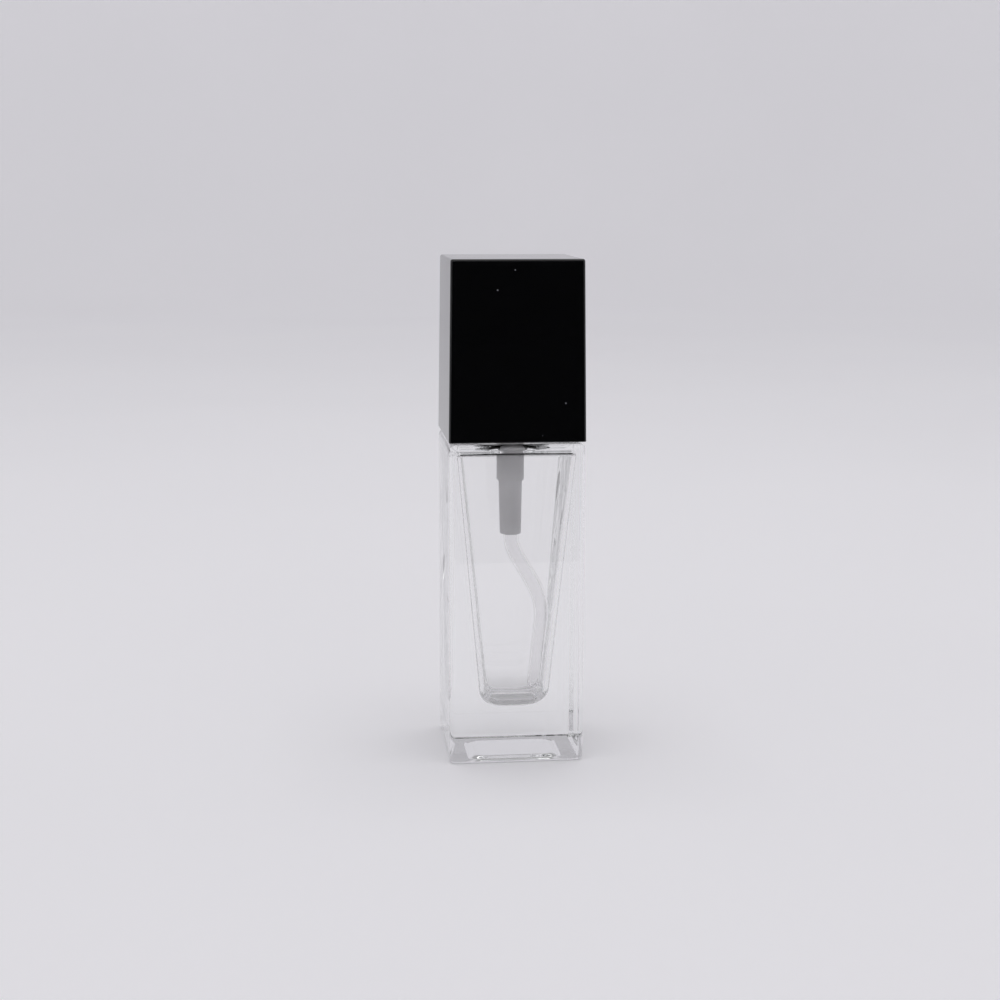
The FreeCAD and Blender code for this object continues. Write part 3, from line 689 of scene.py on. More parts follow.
def thread_height(point, settings):
    """How far the neck's thread stands out at a point, in millimetres."""
    pitch = settings.thread_pitch / MM
    depth = settings.thread_depth / MM
    half_crest = 0.35
    half_root = 0.75
    fade = 0.06
    turn = (math.atan2(point.y, point.x) / (2 * math.pi)) % 1.0
    best = 0.0
    for whole in range(int(settings.thread_turns) + 1):
        along = turn + whole
        if along > settings.thread_turns:
            continue
        ridge = settings.thread_start / MM + pitch * along
        off = abs(point.z - ridge)
        flank = min(1.0, max(0.0, (half_root - off) / (half_root - half_crest)))
        ends = min(1.0, along / fade, (settings.thread_turns - along) / fade)
        best = max(best, depth * flank * flank * (3 - 2 * flank) * max(0.0, ends))
    return best


def bottle_outside(settings, half):
    """Rings over the outside of the glass, from the push-up under the foot to the neck's rim."""
    corner = settings.corner_radius / MM
    shoulder = settings.shoulder_height / MM
    edge = settings.shoulder_radius / MM
    foot = settings.foot_radius / MM
    push_up = settings.push_up / MM
    neck = settings.neck_radius / MM
    rim = BOTTLE_HIGH.z
    dome, dome_corner = 9.0, 2.4
    flat, flat_corner = 11.3, 2.9
    dome_steps = 8
    fillet = 0.8
    ring_gap = 0.14
    rings = [square_ring(dome * part, dome_corner * part, push_up) for part in (0.2, 0.5, 0.8, 0.94)]
    for step in range(dome_steps + 1):
        way = step / dome_steps
        eased = 0.5 - 0.5 * math.cos(math.pi * way)
        across = dome + (flat - dome) * way
        rounding = dome_corner + (flat_corner - dome_corner) * way
        rings.append(square_ring(across, rounding, push_up * (1 - eased)))
    for way in (0.05, 0.5, 0.97):
        across = flat + way * (half - foot - flat)
        rings.append(square_ring(across, flat_corner + way * (corner - foot - flat_corner), 0))
    rings += [square_ring(half - out, corner - out, rise) for rise, out in round_edge(foot, 7)]
    for height in (foot + SMOOTH_EDGE, shoulder / 3, 2 * shoulder / 3, shoulder - edge - SMOOTH_EDGE):
        rings.append(square_ring(half, corner, height))
    rings += [square_ring(half - out, corner - out, shoulder - drop) for out, drop in round_edge(edge, 9)]
    rings.append(square_ring(half - edge - SMOOTH_EDGE, corner - edge, shoulder))
    for radius in (neck + fillet + 1.5, neck + fillet + SMOOTH_EDGE):
        rings.append(round_ring(radius, shoulder))
    rings += [round_ring(neck + out, shoulder + rise) for rise, out in round_edge(fillet, 6)]
    height = shoulder + fillet + 0.2
    while height < rim - LIP - 0.1:
        ring = round_ring(neck, height)
        for point in ring:
            out = 1 + thread_height(point, settings) / neck
            point.x *= out
            point.y *= out
        rings.append(ring)
        height += ring_gap
    rings += [round_ring(neck - out, rim - drop) for out, drop in round_edge(LIP, 5)]
    return rings


def bottle_inside(settings, half):
    """Rings over the inside of the glass, from the rim down the bore to the middle of the floor."""
    bore = settings.bore_radius / MM
    ceiling = settings.ceiling_height / MM
    floor = settings.floor_height / MM
    top_half = half - settings.wall_at_shoulder / MM
    taper = (settings.wall_at_floor - settings.wall_at_shoulder) / MM / (ceiling - floor)
    round_top = settings.ceiling_radius / MM
    round_floor = settings.floor_radius / MM
    rim = BOTTLE_HIGH.z
    mouth = 0.35
    corner_top = 1.7
    corner_floor = 3.0
    end_roundness = 0.7
    wall_steps = 44
    bowl_steps = 14
    still_above, still_below = ceiling - 1.0, floor + 0.05
    wave_across, wave_along = 7, 13

    def wall(height):
        return top_half - taper * (ceiling - height)

    def corner_at(height):
        return corner_top + (corner_floor - corner_top) * (ceiling - height) / (ceiling - floor)

    rings = [round_ring(bore + out, rim - drop) for out, drop in round_edge(LIP, 5, 90, 0)]
    rings.append(round_ring(bore, rim - LIP - SMOOTH_EDGE))
    rings.append(round_ring(bore, ceiling + mouth + SMOOTH_EDGE))
    rings += [round_ring(bore + out, ceiling + rise) for out, rise in round_edge(mouth, 5)]
    rings.append(round_ring(bore + mouth + 1.2, ceiling))
    crown_half = wall(ceiling - round_top)
    rings.append(square_ring(crown_half - round_top - SMOOTH_EDGE, corner_top - round_top, ceiling))
    for drop, inset in round_edge(round_top, 7):
        rings.append(square_ring(crown_half - inset, corner_top - inset, ceiling - drop))
    lean = math.atan(taper)
    bowl_top = floor + round_floor * (1 - math.sin(lean))
    start = ceiling - round_top - SMOOTH_EDGE
    for step in range(wall_steps):
        height = start + (bowl_top + 0.3 - start) * step / (wall_steps - 1)
        rings.append(square_ring(wall(height), corner_at(height), height))
    centre_half = wall(bowl_top) - round_floor * math.cos(lean)
    start_roundness = corner_at(bowl_top) / wall(bowl_top)
    for step, angle in enumerate(arc_steps(bowl_steps, math.degrees(lean), 90)):
        bowl_half = centre_half + round_floor * math.cos(angle)
        roundness = start_roundness + step / bowl_steps * (end_roundness - start_roundness)
        height = floor + round_floor * (1 - math.sin(angle))
        rings.append(square_ring(bowl_half, bowl_half * roundness, height))
    for part in (0.93, 0.7, 0.35):
        rings.append(square_ring(centre_half * part, centre_half * part * end_roundness, floor))
    ripple = settings.ripple / MM
    for ring in rings:
        for point in ring:
            if point.z > still_above or point.z < still_below:
                continue
            wave = noise.noise(Vector((point.x / wave_across, point.y / wave_across, point.z / wave_along)))
            outward = Vector((point.x, point.y, 0)).normalized()
            point += outward * (ripple * wave)
    return rings


class BOTTLE_OT_glass(bpy.types.Operator):
    """Blows the square glass bottle with its neck and thread"""

    bl_idname = "bottle.glass"
    bl_label = "Glass Bottle"

    def execute(self, context):
        settings = context.scene.bottle_glass
        half = BOTTLE_HIGH.x
        rings = bottle_outside(settings, half) + bottle_inside(settings, half)
        under = Vector((0, 0, settings.push_up / MM))
        floor = Vector((0, 0, settings.floor_height / MM))
        piece = object_from(skin(rings, under, floor), "bottle_glass", clear_glass(settings.tint))
        kept(piece, "bottle", "clear_glass", "glass_bottle")
        return {"FINISHED"}


def cap_inside(settings, height):
    """Half the cap's inside width at a height."""
    way = (height - CAP_LOW.z) / (CAP_HIGH.z - CAP_LOW.z)
    return CAP_HIGH.x - settings.draft / MM * way - settings.wall / MM


class BOTTLE_OT_cap(bpy.types.Operator):
    """Moulds the square overcap and the liner that grips the collar"""

    bl_idname = "bottle.cap"
    bl_label = "Overcap"

    def execute(self, context):
        settings = context.scene.bottle_cap
        kept(self.shell(settings), "cap", "cap_black", "cap_shell")
        kept(self.liner(settings, context.scene.bottle_pump), "cap", "liner_black", "cap_liner")
        return {"FINISHED"}

    def shell(self, settings):
        """The shell: its inside from the ceiling down, its rim, and its outside up to the top."""
        low, high = CAP_LOW.z, CAP_HIGH.z
        ceiling = high - settings.roof / MM
        inner = settings.inner_corner / MM
        edge = settings.edge_radius / MM
        rim = settings.rim_radius / MM
        draft = settings.draft / MM
        bottom_half = CAP_HIGH.x
        top_half = bottom_half - draft
        round_inside = 0.6
        top_edge = edge * 0.95
        ceiling_half = cap_inside(settings, ceiling)
        rings = [square_ring(ceiling_half * part, inner * part, ceiling) for part in (0.3, 0.7, 0.94)]
        for drop, inset in round_edge(round_inside, 4):
            rings.append(square_ring(ceiling_half - inset, inner - inset, ceiling - drop))
        for height in (ceiling - round_inside - 0.1, (ceiling + low) / 2, low + rim + 0.1):
            rings.append(square_ring(cap_inside(settings, height), inner, height))
        foot_inside = cap_inside(settings, low)
        rings += [square_ring(foot_inside + out, inner + out, low + rise) for out, rise in round_edge(rim, 3)]
        for out, rise in round_edge(rim, 3, 90, 0):
            rings.append(square_ring(bottom_half - out, edge - out, low + rise))
        for height in (low + rim + SMOOTH_EDGE, low + (high - low) / 2, high - edge - SMOOTH_EDGE):
            way = (height - low) / (high - low)
            rings.append(square_ring(bottom_half - draft * way, edge, height))
        for out, drop in round_edge(top_edge, 7):
            rings.append(square_ring(top_half - out, edge - out, high - drop))
        for part in (1.0 - SMOOTH_EDGE / top_half, 0.7, 0.35):
            rings.append(square_ring((top_half - edge) * part, 0.03 + (1 - part) * 2, high))
        material = polished_black("cap_gloss_black", settings.black)
        closed = skin(rings, Vector((0, 0, ceiling)), Vector((0, 0, high)))
        return object_from(closed, "overcap_shell", material)

    def liner(self, settings, pump):
        """The liner: a square flange, a round sleeve with a ledge, and ribs and fins all round."""
        low, high = LINER_LOW.z, LINER_HIGH.z
        flange_top = low + 1.5
        ledge = high - LEDGE_THICKNESS
        half = LINER_HIGH.x
        sleeve_in, sleeve_out, hole = 12.5, 13.3, 9.6
        corner = 1.7
        edge = 0.15
        rib_radius, fin_half = 0.5, 0.6
        rings = [
            round_ring(sleeve_in, low + edge), round_ring(sleeve_in + edge, low),
            square_ring(half - edge, corner, low), square_ring(half, corner, low + edge),
            square_ring(half, corner, flange_top - edge), square_ring(half - edge, corner, flange_top),
            round_ring(sleeve_out + edge, flange_top), round_ring(sleeve_out, flange_top + edge),
            round_ring(sleeve_out, high - 2 * edge), round_ring(sleeve_out - edge, high - edge / 2),
            round_ring(sleeve_out - 2 * edge, high), round_ring(hole + edge, high),
            round_ring(hole, high - edge), round_ring(hole, ledge + edge),
            round_ring(hole + edge, ledge), round_ring(sleeve_in - edge, ledge),
            round_ring(sleeve_in, ledge - edge),
        ]
        material = moulded("liner_plastic", settings.liner, 0.3, relief=0.006)
        body = tidied(object_from(skin(rings), "overcap_liner", material))
        foot = low + 0.1
        rib = lathe(((0, foot, 0), (rib_radius, foot, 0.2), (rib_radius, ledge, 0), (0, ledge, 0)), 16)
        rib = object_from(placed(rib, sleeve_in + 0.05), "liner_rib", material)
        step = math.pi / pump.liner_ribs
        ribs = grown(rib, ring_tree(), count=pump.liner_ribs, first_angle=step, material=material)
        fin_end = (half - corner) * math.sqrt(2) + corner
        reach = fin_end - sleeve_out + 0.2
        size = (reach, 2 * fin_half, ledge - flange_top)
        fin = soft_block(fin_end - reach / 2, 0, (ledge + flange_top) / 2, size, 0.1)
        fin = object_from(fin, "liner_fin", material)
        fins = grown(fin, ring_tree(), count=4, first_angle=math.pi / 4, material=material)
        return merged(body, ribs, fins)


class BOTTLE_OT_collar(bpy.types.Operator):
    """Moulds the knurled screw collar and its turret"""

    bl_idname = "bottle.collar"
    bl_label = "Screw Collar"

    def execute(self, context):
        settings = context.scene.bottle_pump
        glass = context.scene.bottle_glass
        low, high = COLLAR_LOW.z, COLLAR_HIGH.z
        outer = COLLAR_HIGH.x
        core = outer - 0.3
        bore = glass.neck_radius / MM + glass.thread_depth / MM + 0.3
        shoulder = LINER_HIGH.z - LEDGE_THICKNESS - 0.05
        seat = shoulder - 1.6
        turret_in = BUTTON_HIGH.x + 0.35
        turret_out = turret_in + 1.2
        stem_hole = 4.4
        knurl_radius = 0.36
        outline = (
            (bore, low, 0.2), (core, low, 0.35), (core, shoulder, 0.6), (turret_out, shoulder, 0.25),
            (turret_out, high, 0.4), (turret_in, high, 0.25), (turret_in, shoulder, 0.25),
            (stem_hole, shoulder, 0.15), (stem_hole, seat, 0.1), (bore, seat, 0.3),
        )
        material = moulded("collar_plastic", settings.black, 0.16, grain=700.0, relief=0.003)
        body = object_from(lathe(outline, 144), "screw_collar_body", material)
        foot, top = low + 0.9, shoulder - 0.9
        knurl = lathe(((0, foot, 0), (knurl_radius, foot, 0.3), (knurl_radius, top, 0.3), (0, top, 0)), 16)
        knurl = object_from(placed(knurl, outer - knurl_radius), "collar_knurl", material)
        knurls = grown(knurl, ring_tree(), count=settings.knurl_count, first_angle=0.0, material=material)
        thread = object_from(self.thread(glass, bore), "collar_thread", material)
        kept(merged(body, knurls, thread), "collar", "collar_black", "screw_collar")
        return {"FINISHED"}

    def thread(self, glass, bore):
        """The ridge inside the collar that runs just under the neck's thread."""
        pitch = glass.thread_pitch / MM
        depth = glass.thread_depth / MM
        lead = glass.thread_turns - 1
        below_neck_thread = 1.35
        start = glass.thread_start / MM - below_neck_thread - lead * pitch
        sunk, half_root, half_crest = 0.3, 0.85, 0.35
        blunt, run_out = 0.15, 20
        rings = []
        steps = 90
        for step in range(steps + 1):
            along = glass.thread_turns * step / steps
            angle = 2 * math.pi * (along - lead)
            swell = min(1.0, blunt + run_out * along, blunt + run_out * (glass.thread_turns - along))
            ring = []
            tip = depth * swell
            corners = ((-sunk, -half_root), (tip, -half_crest), (tip, half_crest), (-sunk, half_root))
            for inward, up in corners:
                radius = bore - inward
                spot = (radius * math.cos(angle), radius * math.sin(angle), start + pitch * along + up)
                ring.append(Vector(spot))
            rings.append(ring)
        first = sum(rings[0], Vector()) / 4
        last = sum(rings[-1], Vector()) / 4
        shape = skin(rings, first, last)
        bmesh.ops.recalc_face_normals(shape, faces=shape.faces)
        for face in shape.faces:
            face.smooth = False
        return shape


def facing_front(shape, height, depth):
    """Turns a shape made round +Z to lie along -Y at a height, its foot at a depth."""
    turn = Matrix.Rotation(math.radians(90), 4, "X")
    place = Matrix.Translation(Vector((0, -depth, height)) * MM)
    bmesh.ops.transform(shape, matrix=place @ turn, verts=shape.verts)
    return shape


class BOTTLE_OT_button(bpy.types.Operator):
    """Moulds the spray button and the nozzle insert in its front"""

    bl_idname = "bottle.button"
    bl_label = "Spray Button"

    def execute(self, context):
        settings = context.scene.bottle_pump
        radius = BUTTON_HIGH.x
        skirt = COLLAR_HIGH.z - 0.8
        top = skirt + 12.0
        roof = top - 3.2
        wall = 1.1
        dish = 0.7
        boss = 3.7
        stem = STEM_HIGH.x + SLIP
        stem_top = STEM_HIGH.z + SLIP
        dish_steps = 8
        outlet = (INSERT_LOW.z + INSERT_HIGH.z) / 2
        inner = radius - wall
        outline = [(boss, BUTTON_LOW.z, 0.2), (boss, roof, 0.3), (inner, roof, 0.3), (inner, skirt, 0.15)]
        outline += [(radius, skirt, 0.25), (radius, top - 0.25, 0.45), (radius - 0.75, top, 0.5)]
        for step in range(1, dish_steps + 1):
            way = 1 - step / dish_steps
            outline.append(((radius - 1.0) * way, top - dish * (1 - way * way), 0))
        channel, channel_top = 1.1, outlet + 0.7
        outline += [(0, channel_top, 0), (channel, channel_top, 0.2), (channel, stem_top, 0)]
        outline += [(stem, stem_top, 0), (stem, BUTTON_LOW.z, 0.1)]
        material = moulded("button_plastic", settings.black, 0.13, grain=700.0, relief=0.003)
        body = object_from(lathe(outline, 128), "spray_button_body", material)
        width = 2 * (INSERT_HIGH.x + wall)
        foot = outlet - INSERT_HIGH.x - wall
        near, far = 2.2, radius - 0.8
        head = roof + 0.6
        bridge = soft_block(0, -(near + far) / 2, (head + foot) / 2, (width, far - near, head - foot), 0.2)
        bridge = object_from(bridge, "button_bridge", material)
        union = body.modifiers.new("bridge", "BOOLEAN")
        union.operation = "UNION"
        union.solver = "EXACT"
        union.object = bridge
        body = baked(body, bridge)
        front = -INSERT_LOW.y
        back = -INSERT_HIGH.y
        cutters = []
        beyond = radius + 1
        counterbore = (3.0, front, beyond, 0.12)
        socket = (INSERT_HIGH.x, back, beyond, 0.0)
        duct = (0.7, 0.0, back + 0.5, 0.0)
        for number, (size, start, end, soft) in enumerate((counterbore, socket, duct)):
            cutter = lathe(((0, start, 0), (size, start, soft), (size, end, 0), (0, end, 0)), 64)
            cutters.append(object_from(facing_front(cutter, outlet, 0), f"button_cutter_{number}", material))
        body = tidied(cut_by(body, *cutters))
        kept(body, "button", "button_black", "spray_button")
        self.insert(settings, outlet, front, back)
        return {"FINISHED"}

    def insert(self, settings, height, front, back):
        """The nozzle cup, with a small cone round its orifice."""
        radius = INSERT_HIGH.x
        outline = (
            (1.1, back, 0.1), (radius, back, 0.1), (radius, front, 0.18), (1.0, front, 0.1),
            (0.55, front - 0.3, 0.08), (0.2, front - 0.3, 0.03), (0.2, front - 0.8, 0.03),
            (1.1, front - 0.8, 0.1),
        )
        material = moulded("nozzle_plastic", settings.white, 0.32)
        cup = facing_front(lathe(outline, 64), height, 0)
        kept(object_from(cup, "nozzle_insert", material), "button", "insert_white", "spray_insert")


def cross_hole(start, end, height):
    """The cutter of a small hole along +X at a height."""
    radius = 0.4
    hole = lathe(((0, start, 0), (radius, start, 0), (radius, end, 0), (0, end, 0)), 24)
    bmesh.ops.rotate(hole, verts=hole.verts, matrix=Matrix.Rotation(math.radians(90), 3, "Y"))
    return placed(hole, z=height)


class BOTTLE_OT_pump(bpy.types.Operator):
    """Moulds the pump: housing, guide, gasket, stem, tip, piston, ball, spring and dip tube"""

    bl_idname = "bottle.pump"
    bl_label = "Pump"

    def execute(self, context):
        settings = context.scene.bottle_pump
        white = settings.white
        housing = moulded(
            "housing_plastic", white, 0.4, spread=0.03, Subsurface_Weight=0.6, Subsurface_Scale=0.004,
            Subsurface_Radius=(1.0, 1.0, 1.0),
        )
        inner = moulded("stem_plastic", [v * 0.96 for v in white], 0.30)
        soft = moulded("piston_plastic", [v * 0.92 for v in white], 0.45)
        rubber = moulded("gasket_foam", (0.42, 0.43, 0.44), 0.6, grain=1600.0, relief=0.012)
        self.housing(housing)
        self.turned("stem_guide_ring", inner, "pump", "stem_white", "stem_guide", self.guide_outline())
        gasket = (
            (5.6, GASKET_LOW.z, 0.1), (GASKET_HIGH.x, GASKET_LOW.z, 0.15),
            (GASKET_HIGH.x, GASKET_HIGH.z, 0.15), (5.6, GASKET_HIGH.z, 0.1),
        )
        self.turned("neck_gasket", rubber, "pump", "gasket_grey", "gasket", gasket)
        self.stem(inner)
        tip = (
            (0, TIP_LOW.z, 0), (1.5, TIP_LOW.z, 0.3), (1.5, TIP_LOW.z + 1.4, 0.1),
            (TIP_HIGH.x, TIP_LOW.z + 1.4, 0.15), (TIP_HIGH.x, TIP_LOW.z + 2.5, 0.15),
            (1.1, TIP_LOW.z + 2.5, 0.05), (1.1, TIP_HIGH.z, 0.2), (0, TIP_HIGH.z, 0),
        )
        self.turned("stem_tip_plug", inner, "stem", "stem_white", "stem_tip", tip)
        lip = PISTON_HIGH.x
        piston = (
            (1.98, PISTON_LOW.z, 0.05), (lip, PISTON_LOW.z, 0.08), (lip, PISTON_LOW.z + 0.45, 0.1),
            (lip - 0.5, PISTON_LOW.z + 0.9, 0.2), (lip - 0.5, PISTON_HIGH.z - 0.9, 0.2),
            (lip, PISTON_HIGH.z - 0.45, 0.1), (lip, PISTON_HIGH.z, 0.08), (1.98, PISTON_HIGH.z, 0.05),
        )
        self.turned("piston_sleeve", soft, "piston", "piston_white", "pump_piston", piston)
        self.ball()
        self.spring(settings)
        self.dip_tube(settings)
        return {"FINISHED"}

    def turned(self, name, material, body, slot_name, node, outline):
        """One turned piece."""
        return kept(object_from(lathe(outline), name, material), body, slot_name, node)

    def guide_outline(self):
        """The outline of the ring that guides the stem."""
        bore = STEM_HIGH.x + 0.08
        flange = GUIDE_HIGH.z - 1.0
        return (
            (bore, GUIDE_LOW.z, 0.15), (CHAMBER_BORE, GUIDE_LOW.z, 0.2), (CHAMBER_BORE, flange, 0.1),
            (GUIDE_HIGH.x, flange, 0.1), (GUIDE_HIGH.x, GUIDE_HIGH.z, 0.2), (bore, GUIDE_HIGH.z, 0.2),
        )

    def housing(self, material):
        """The pump's barrel with its vent hole."""
        low, high = HOUSING_LOW.z, HOUSING_HIGH.z
        flange, flange_bottom = HOUSING_HIGH.x, high - 1.4
        barrel, waist, tail_top_out, tail_end_out = 4.8, 3.3, 2.83, 2.55
        spring_bore, seat_hole, ball_bore, channel = 2.45, 1.35, 1.8, 1.0
        tube_socket, socket_mouth, socket_top = 1.8, 2.05, low + 9.1
        tail = low + 13.0
        spring_seat = SPRING_LOW.z
        seat_foot = spring_seat - 0.6
        chamber = TIP_LOW.z + 1.4 - 4.3
        cone = chamber - 1.35
        outline = (
            (tube_socket, low + 0.25, 0.05), (socket_mouth, low, 0.05), (tail_end_out, low, 0.2),
            (tail_top_out, tail, 0.1), (waist, tail, 0.15), (waist, cone - 0.7, 0.4),
            (barrel, cone + 0.05, 0.4), (barrel, flange_bottom, 0.2), (flange, flange_bottom, 0.2),
            (flange, high, 0.2), (CHAMBER_BORE, high, 0.15), (CHAMBER_BORE, chamber, 0.3),
            (spring_bore, cone, 0.2), (spring_bore, spring_seat, 0.1), (seat_hole, spring_seat, 0.1),
            (seat_hole, seat_foot, 0.1), (ball_bore, seat_foot, 0.05), (ball_bore, BALL_LOW.z + 1.3, 0.1),
            (channel, BALL_LOW.z + 0.35, 0.1), (channel, socket_top, 0.05), (tube_socket, socket_top, 0.05),
        )
        body = object_from(lathe(outline), "pump_housing_barrel", material)
        vent = cross_hole(3.0, 6.0, (PISTON_HIGH.z + GUIDE_LOW.z) / 2)
        body = tidied(cut_by(body, object_from(vent, "housing_vent", material)))
        kept(body, "pump", "pump_white", "pump_housing")

    def stem(self, material):
        """The hollow stem with two ports low down."""
        neck = 1.9
        bore = 1.1
        shoulder = PISTON_HIGH.z + 0.65
        outline = (
            (bore, STEM_LOW.z, 0.05), (neck, STEM_LOW.z, 0.05), (neck, shoulder, 0.05),
            (STEM_HIGH.x, shoulder, 0.15), (STEM_HIGH.x, STEM_HIGH.z, 0.15), (bore, STEM_HIGH.z, 0.1),
        )
        body = object_from(lathe(outline, 64), "hollow_stem", material)
        port = cross_hole(-3.0, 3.0, STEM_LOW.z + 2.0)
        body = tidied(cut_by(body, object_from(port, "stem_port", material)))
        kept(body, "stem", "stem_white", "pump_stem")

    def ball(self):
        """The inlet ball."""
        radius = BALL_HIGH.x
        shape = bmesh.new()
        bmesh.ops.create_icosphere(shape, subdivisions=4, radius=radius * MM)
        smoothed(placed(shape, z=BALL_LOW.z + radius))
        steel = drawn_steel("ball_steel", (0.62, 0.62, 0.63), 0.12)
        kept(object_from(shape, "inlet_ball", steel), "inlet_ball", "ball_steel", "valve_ball")

    def spring(self, settings):
        """The return spring, baked to a plain coil at the full height of its CAD node."""
        steel = drawn_steel("spring_steel", (0.58, 0.57, 0.56), 0.25)
        seed = object_from(bmesh.new(), "return_coil", steel)
        length = SPRING_HIGH.z - SPRING_LOW.z
        coil = grown(
            seed, coil_spring_tree(), coil_radius=SPRING_HIGH.x * MM - settings.wire_radius,
            wire_radius=settings.wire_radius, turns=settings.coils, foot=SPRING_LOW.z * MM,
            height=length * MM, material=steel,
        )
        kept(coil, "pump", "spring_steel", "return_spring")
        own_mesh(coil)

    def dip_tube(self, settings):
        """The pick-up tube, bent across to the side wall."""
        frosted = tube_plastic()
        line = bpy.data.curves.new("pickup_tube", "CURVE")
        line.dimensions = "3D"
        line.resolution_u = 16
        route = line.splines.new("NURBS")
        radius = settings.tube_radius / MM
        reach = TUBE_HIGH.x - radius
        top = TUBE_HIGH.z
        points = (
            (0, top), (0, top - 5), (0, top - 9.5), (0.3, top - 12.6), (3.1, top - 17.4),
            (reach - 0.7, top - 24.0), (reach + 0.35, top - 30.0), (reach - 1.1, top - 37.0),
            (5.95, TUBE_LOW.z + 0.25),
        )
        route.points.add(len(points) - 1)
        for spot, (x, z) in zip(route.points, points):
            spot.co = (x * MM, 0, z * MM, 1)
        route.order_u = 4
        route.use_endpoint_u = True
        piece = bpy.data.objects.new("pickup_tube", line)
        bpy.context.scene.collection.objects.link(piece)
        sizes = {"radius": settings.tube_radius, "wall": settings.tube_wall}
        tube = grown(piece, hollow_tube_tree(), material=frosted, **sizes)
        kept(tube, "pump", "tube_clear", "dip_tube")


def tube_plastic():
    """Milky see-through tubing."""
    made, tree, shader = plain_material("tube_plastic")
    cloud = noise_at(tree, 300.0, 3.0, (1.0, 1.0, 0.2))
    tint = mixed(tree, between(tree, cloud, 0.0, 1.0), (0.985, 0.98, 0.985, 1), (1, 1, 1, 1))
    tree.links.new(tint, shader.inputs["Base Color"])
    shader.inputs["Transmission Weight"].default_value = 0.96
    shader.inputs["IOR"].default_value = 1.06
    tree.links.new(between(tree, cloud, 0.1, 0.2), shader.inputs["Roughness"])
    bumped(tree, shader, cloud, 0.004)
    return made


# Stage


def sweep(settings):
    """A round floor that turns up softly into a wall all the way round."""
    radius = settings.floor_radius
    turn = 0.5
    outline = [(0.0, 0.0), (0.2, 0.0), (0.6, 0.0), (radius, 0.0)]
    for angle in arc_steps(10)[1:]:
        outline.append((radius + turn * math.sin(angle), turn * (1 - math.cos(angle))))
    outline.append((radius + turn, 1.6))
    shape = bmesh.new()
    count = 96
    rows = []
    for across, height in outline[1:]:
        row = []
        for number in range(count):
            angle = 2 * math.pi * number / count
            row.append(shape.verts.new((across * math.cos(angle), across * math.sin(angle), height)))
        rows.append(row)
    middle = shape.verts.new((0, 0, 0))
    for number in range(count):
        after = (number + 1) % count
        shape.faces.new((middle, rows[0][number], rows[0][after]))
        for inner, outer in zip(rows, rows[1:]):
            shape.faces.new((inner[number], outer[number], outer[after], inner[after]))
    return smoothed(shape)


def backdrop_material(base, glow):
    """Matt seamless board that also glows a little, so that shadows on it stay soft."""
    made, tree, shader = plain_material("backdrop_board")
    cloud = noise_at(tree, 3.0, 2.0)
    tint = mixed(tree, between(tree, cloud, 0.0, 1.0), rgba(base, 0.99), rgba(base, 1.01))
    tree.links.new(tint, shader.inputs["Base Color"])
    tree.links.new(tint, shader.inputs["Emission Color"])
    shader.inputs["Emission Strength"].default_value = glow
    shader.inputs["Roughness"].default_value = 0.9
    shader.inputs["Specular IOR Level"].default_value = 0.1
    return made


def soft_box(name, place, aim, width, height, power):
    """A rectangular soft light aimed at a point."""
    light = bpy.data.lights.new(name, "AREA")
    light.shape = "RECTANGLE"
    light.size = width
    light.size_y = height
    light.energy = power
    made = bpy.data.objects.new(name, light)
    made.location = place
    made.rotation_euler = (Vector(aim) - Vector(place)).to_track_quat("-Z", "Y").to_euler()
    bpy.context.scene.collection.objects.link(made)
    return made


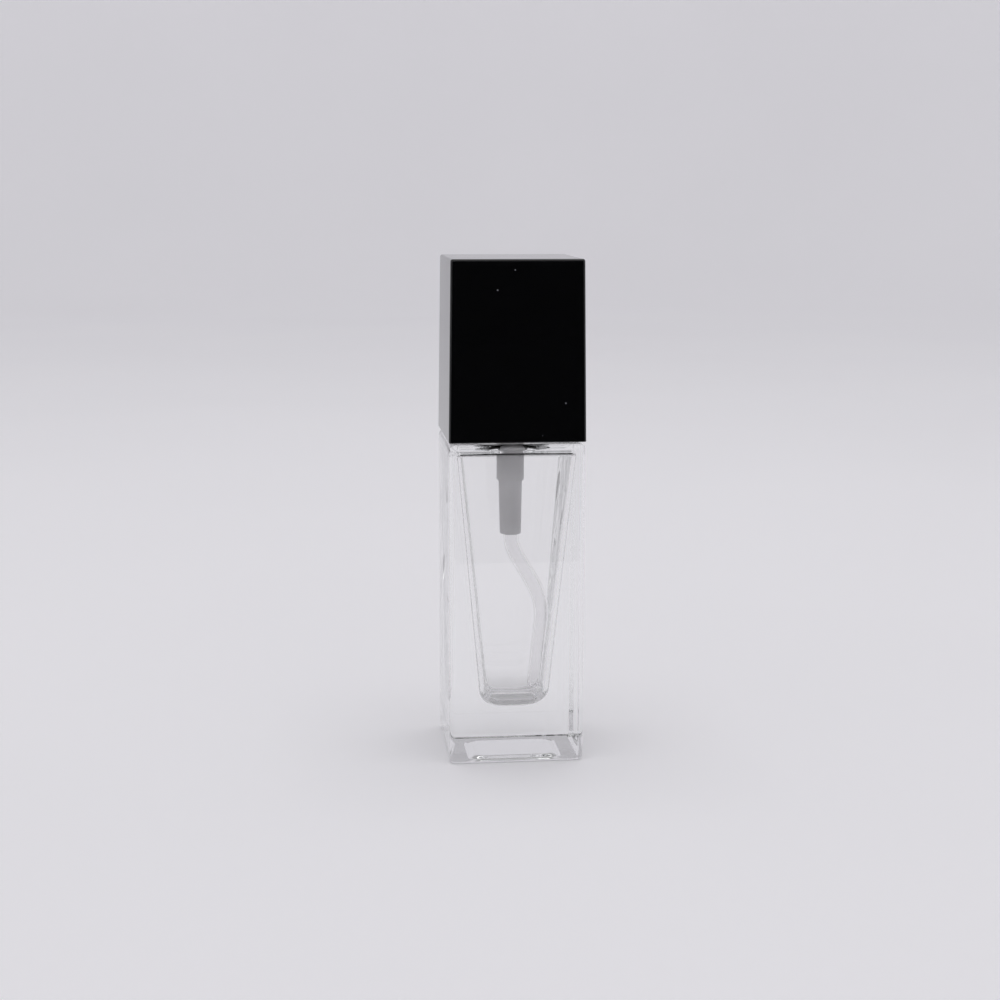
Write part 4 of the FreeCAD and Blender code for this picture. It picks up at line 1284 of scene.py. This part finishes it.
class BOTTLE_OT_stage(bpy.types.Operator):
    """Sets the seamless backdrop, the light and the camera"""

    bl_idname = "bottle.stage"
    bl_label = "Stage"

    def execute(self, context):
        scene = context.scene
        settings = scene.bottle_stage
        board = backdrop_material(settings.backdrop, settings.glow)
        floor = object_from(sweep(settings), "seamless_sweep", board)
        self.dark_card()
        self.sky(scene, settings.sky)
        soft_box("overhead_softbox", (0, 0, 1.3), (0, 0, 0), 0.9, 0.9, settings.softbox_power)
        self.camera(scene, settings)
        scene.view_settings.view_transform = "Standard"
        scene.cycles.max_bounces = 32
        scene.cycles.transmission_bounces = 28
        scene.cycles.glossy_bounces = 24
        scene.cycles.diffuse_bounces = 4
        return {"FINISHED"}

    def dark_card(self):
        """A black card that only reflections see; it keeps the cap's front dark.

        It lies on the floor in front of the view and rises behind the camera. What is lit or seen through
        the glass doesn't meet it.
        """
        shape = bmesh.new()
        rows = []
        for y, z in ((-0.23, 0.003), (-0.6, 0.003), (-1.0, 0.003), (-1.05, 0.05), (-1.05, 0.3), (-1.05, 0.5)):
            rows.append([shape.verts.new((x, y, z)) for x in (-0.7, -0.25, 0.25, 0.7)])
        for lower, upper in zip(rows, rows[1:]):
            for number in range(3):
                shape.faces.new((lower[number], lower[number + 1], upper[number + 1], upper[number]))
        made, tree, shader = plain_material("black_card")
        cloud = noise_at(tree, 8.0)
        tint = mixed(tree, cloud, (0.008, 0.008, 0.009, 1), (0.012, 0.012, 0.014, 1))
        tree.links.new(tint, shader.inputs["Base Color"])
        shader.inputs["Roughness"].default_value = 0.9
        card = object_from(shape, "black_card", made)
        card.visible_camera = False
        card.visible_diffuse = False
        card.visible_transmission = False
        card.visible_shadow = False

    def sky(self, scene, strength):
        """Even soft light from all round."""
        world = bpy.data.worlds.new("studio")
        scene.world = world
        world.use_nodes = True
        background = world.node_tree.nodes["Background"]
        background.inputs["Color"].default_value = (0.80, 0.795, 0.82, 1)
        background.inputs["Strength"].default_value = strength

    def camera(self, scene, settings):
        """The camera in its place."""
        data = bpy.data.cameras.new("view")
        data.lens = settings.lens
        data.sensor_width = 36.0
        data.clip_start = 0.01
        data.clip_end = 20.0
        camera = bpy.data.objects.new("view", data)
        camera.location = (settings.camera_x, settings.camera_y, settings.camera_z)
        camera.rotation_euler = Euler((math.pi / 2 - settings.pitch, settings.roll, -settings.yaw), "XYZ")
        scene.collection.objects.link(camera)
        scene.camera = camera


class BOTTLE_PT_sidebar(bpy.types.Panel):
    """Lists the bottle's pieces and their settings"""

    bl_idname = "BOTTLE_PT_sidebar"
    bl_label = "Spray Bottle"
    bl_space_type = "VIEW_3D"
    bl_region_type = "UI"
    bl_category = "Bottle"

    def draw(self, context):
        for maker in MAKERS:
            self.layout.operator(maker.bl_idname)
        for group in GROUPS:
            settings = getattr(context.scene, group)
            box = self.layout.box()
            for name in settings.bl_rna.properties.keys():
                if name not in ("rna_type", "name"):
                    box.prop(settings, name)


MAKERS = (BOTTLE_OT_glass, BOTTLE_OT_cap, BOTTLE_OT_collar, BOTTLE_OT_button, BOTTLE_OT_pump, BOTTLE_OT_stage)
GROUPS = {
    "bottle_glass": BottleSettings,
    "bottle_cap": CapSettings,
    "bottle_pump": PumpSettings,
    "bottle_stage": StageSettings,
}
CLASSES = (*GROUPS.values(), *MAKERS, BOTTLE_PT_sidebar)


def register():
    """Registers the classes and hangs the settings on the scene."""
    for made in CLASSES:
        bpy.utils.register_class(made)
    for name, group in GROUPS.items():
        setattr(bpy.types.Scene, name, PointerProperty(type=group))


def unregister():
    """Takes the settings and the classes away again."""
    for name in GROUPS:
        delattr(bpy.types.Scene, name)
    for made in reversed(CLASSES):
        bpy.utils.unregister_class(made)


def main():
    """Builds the bottle and its stage."""
    register()
    bpy.ops.bottle.glass()
    bpy.ops.bottle.cap()
    bpy.ops.bottle.collar()
    bpy.ops.bottle.button()
    bpy.ops.bottle.pump()
    bpy.ops.bottle.stage()


if __name__ == "__main__":
    main()
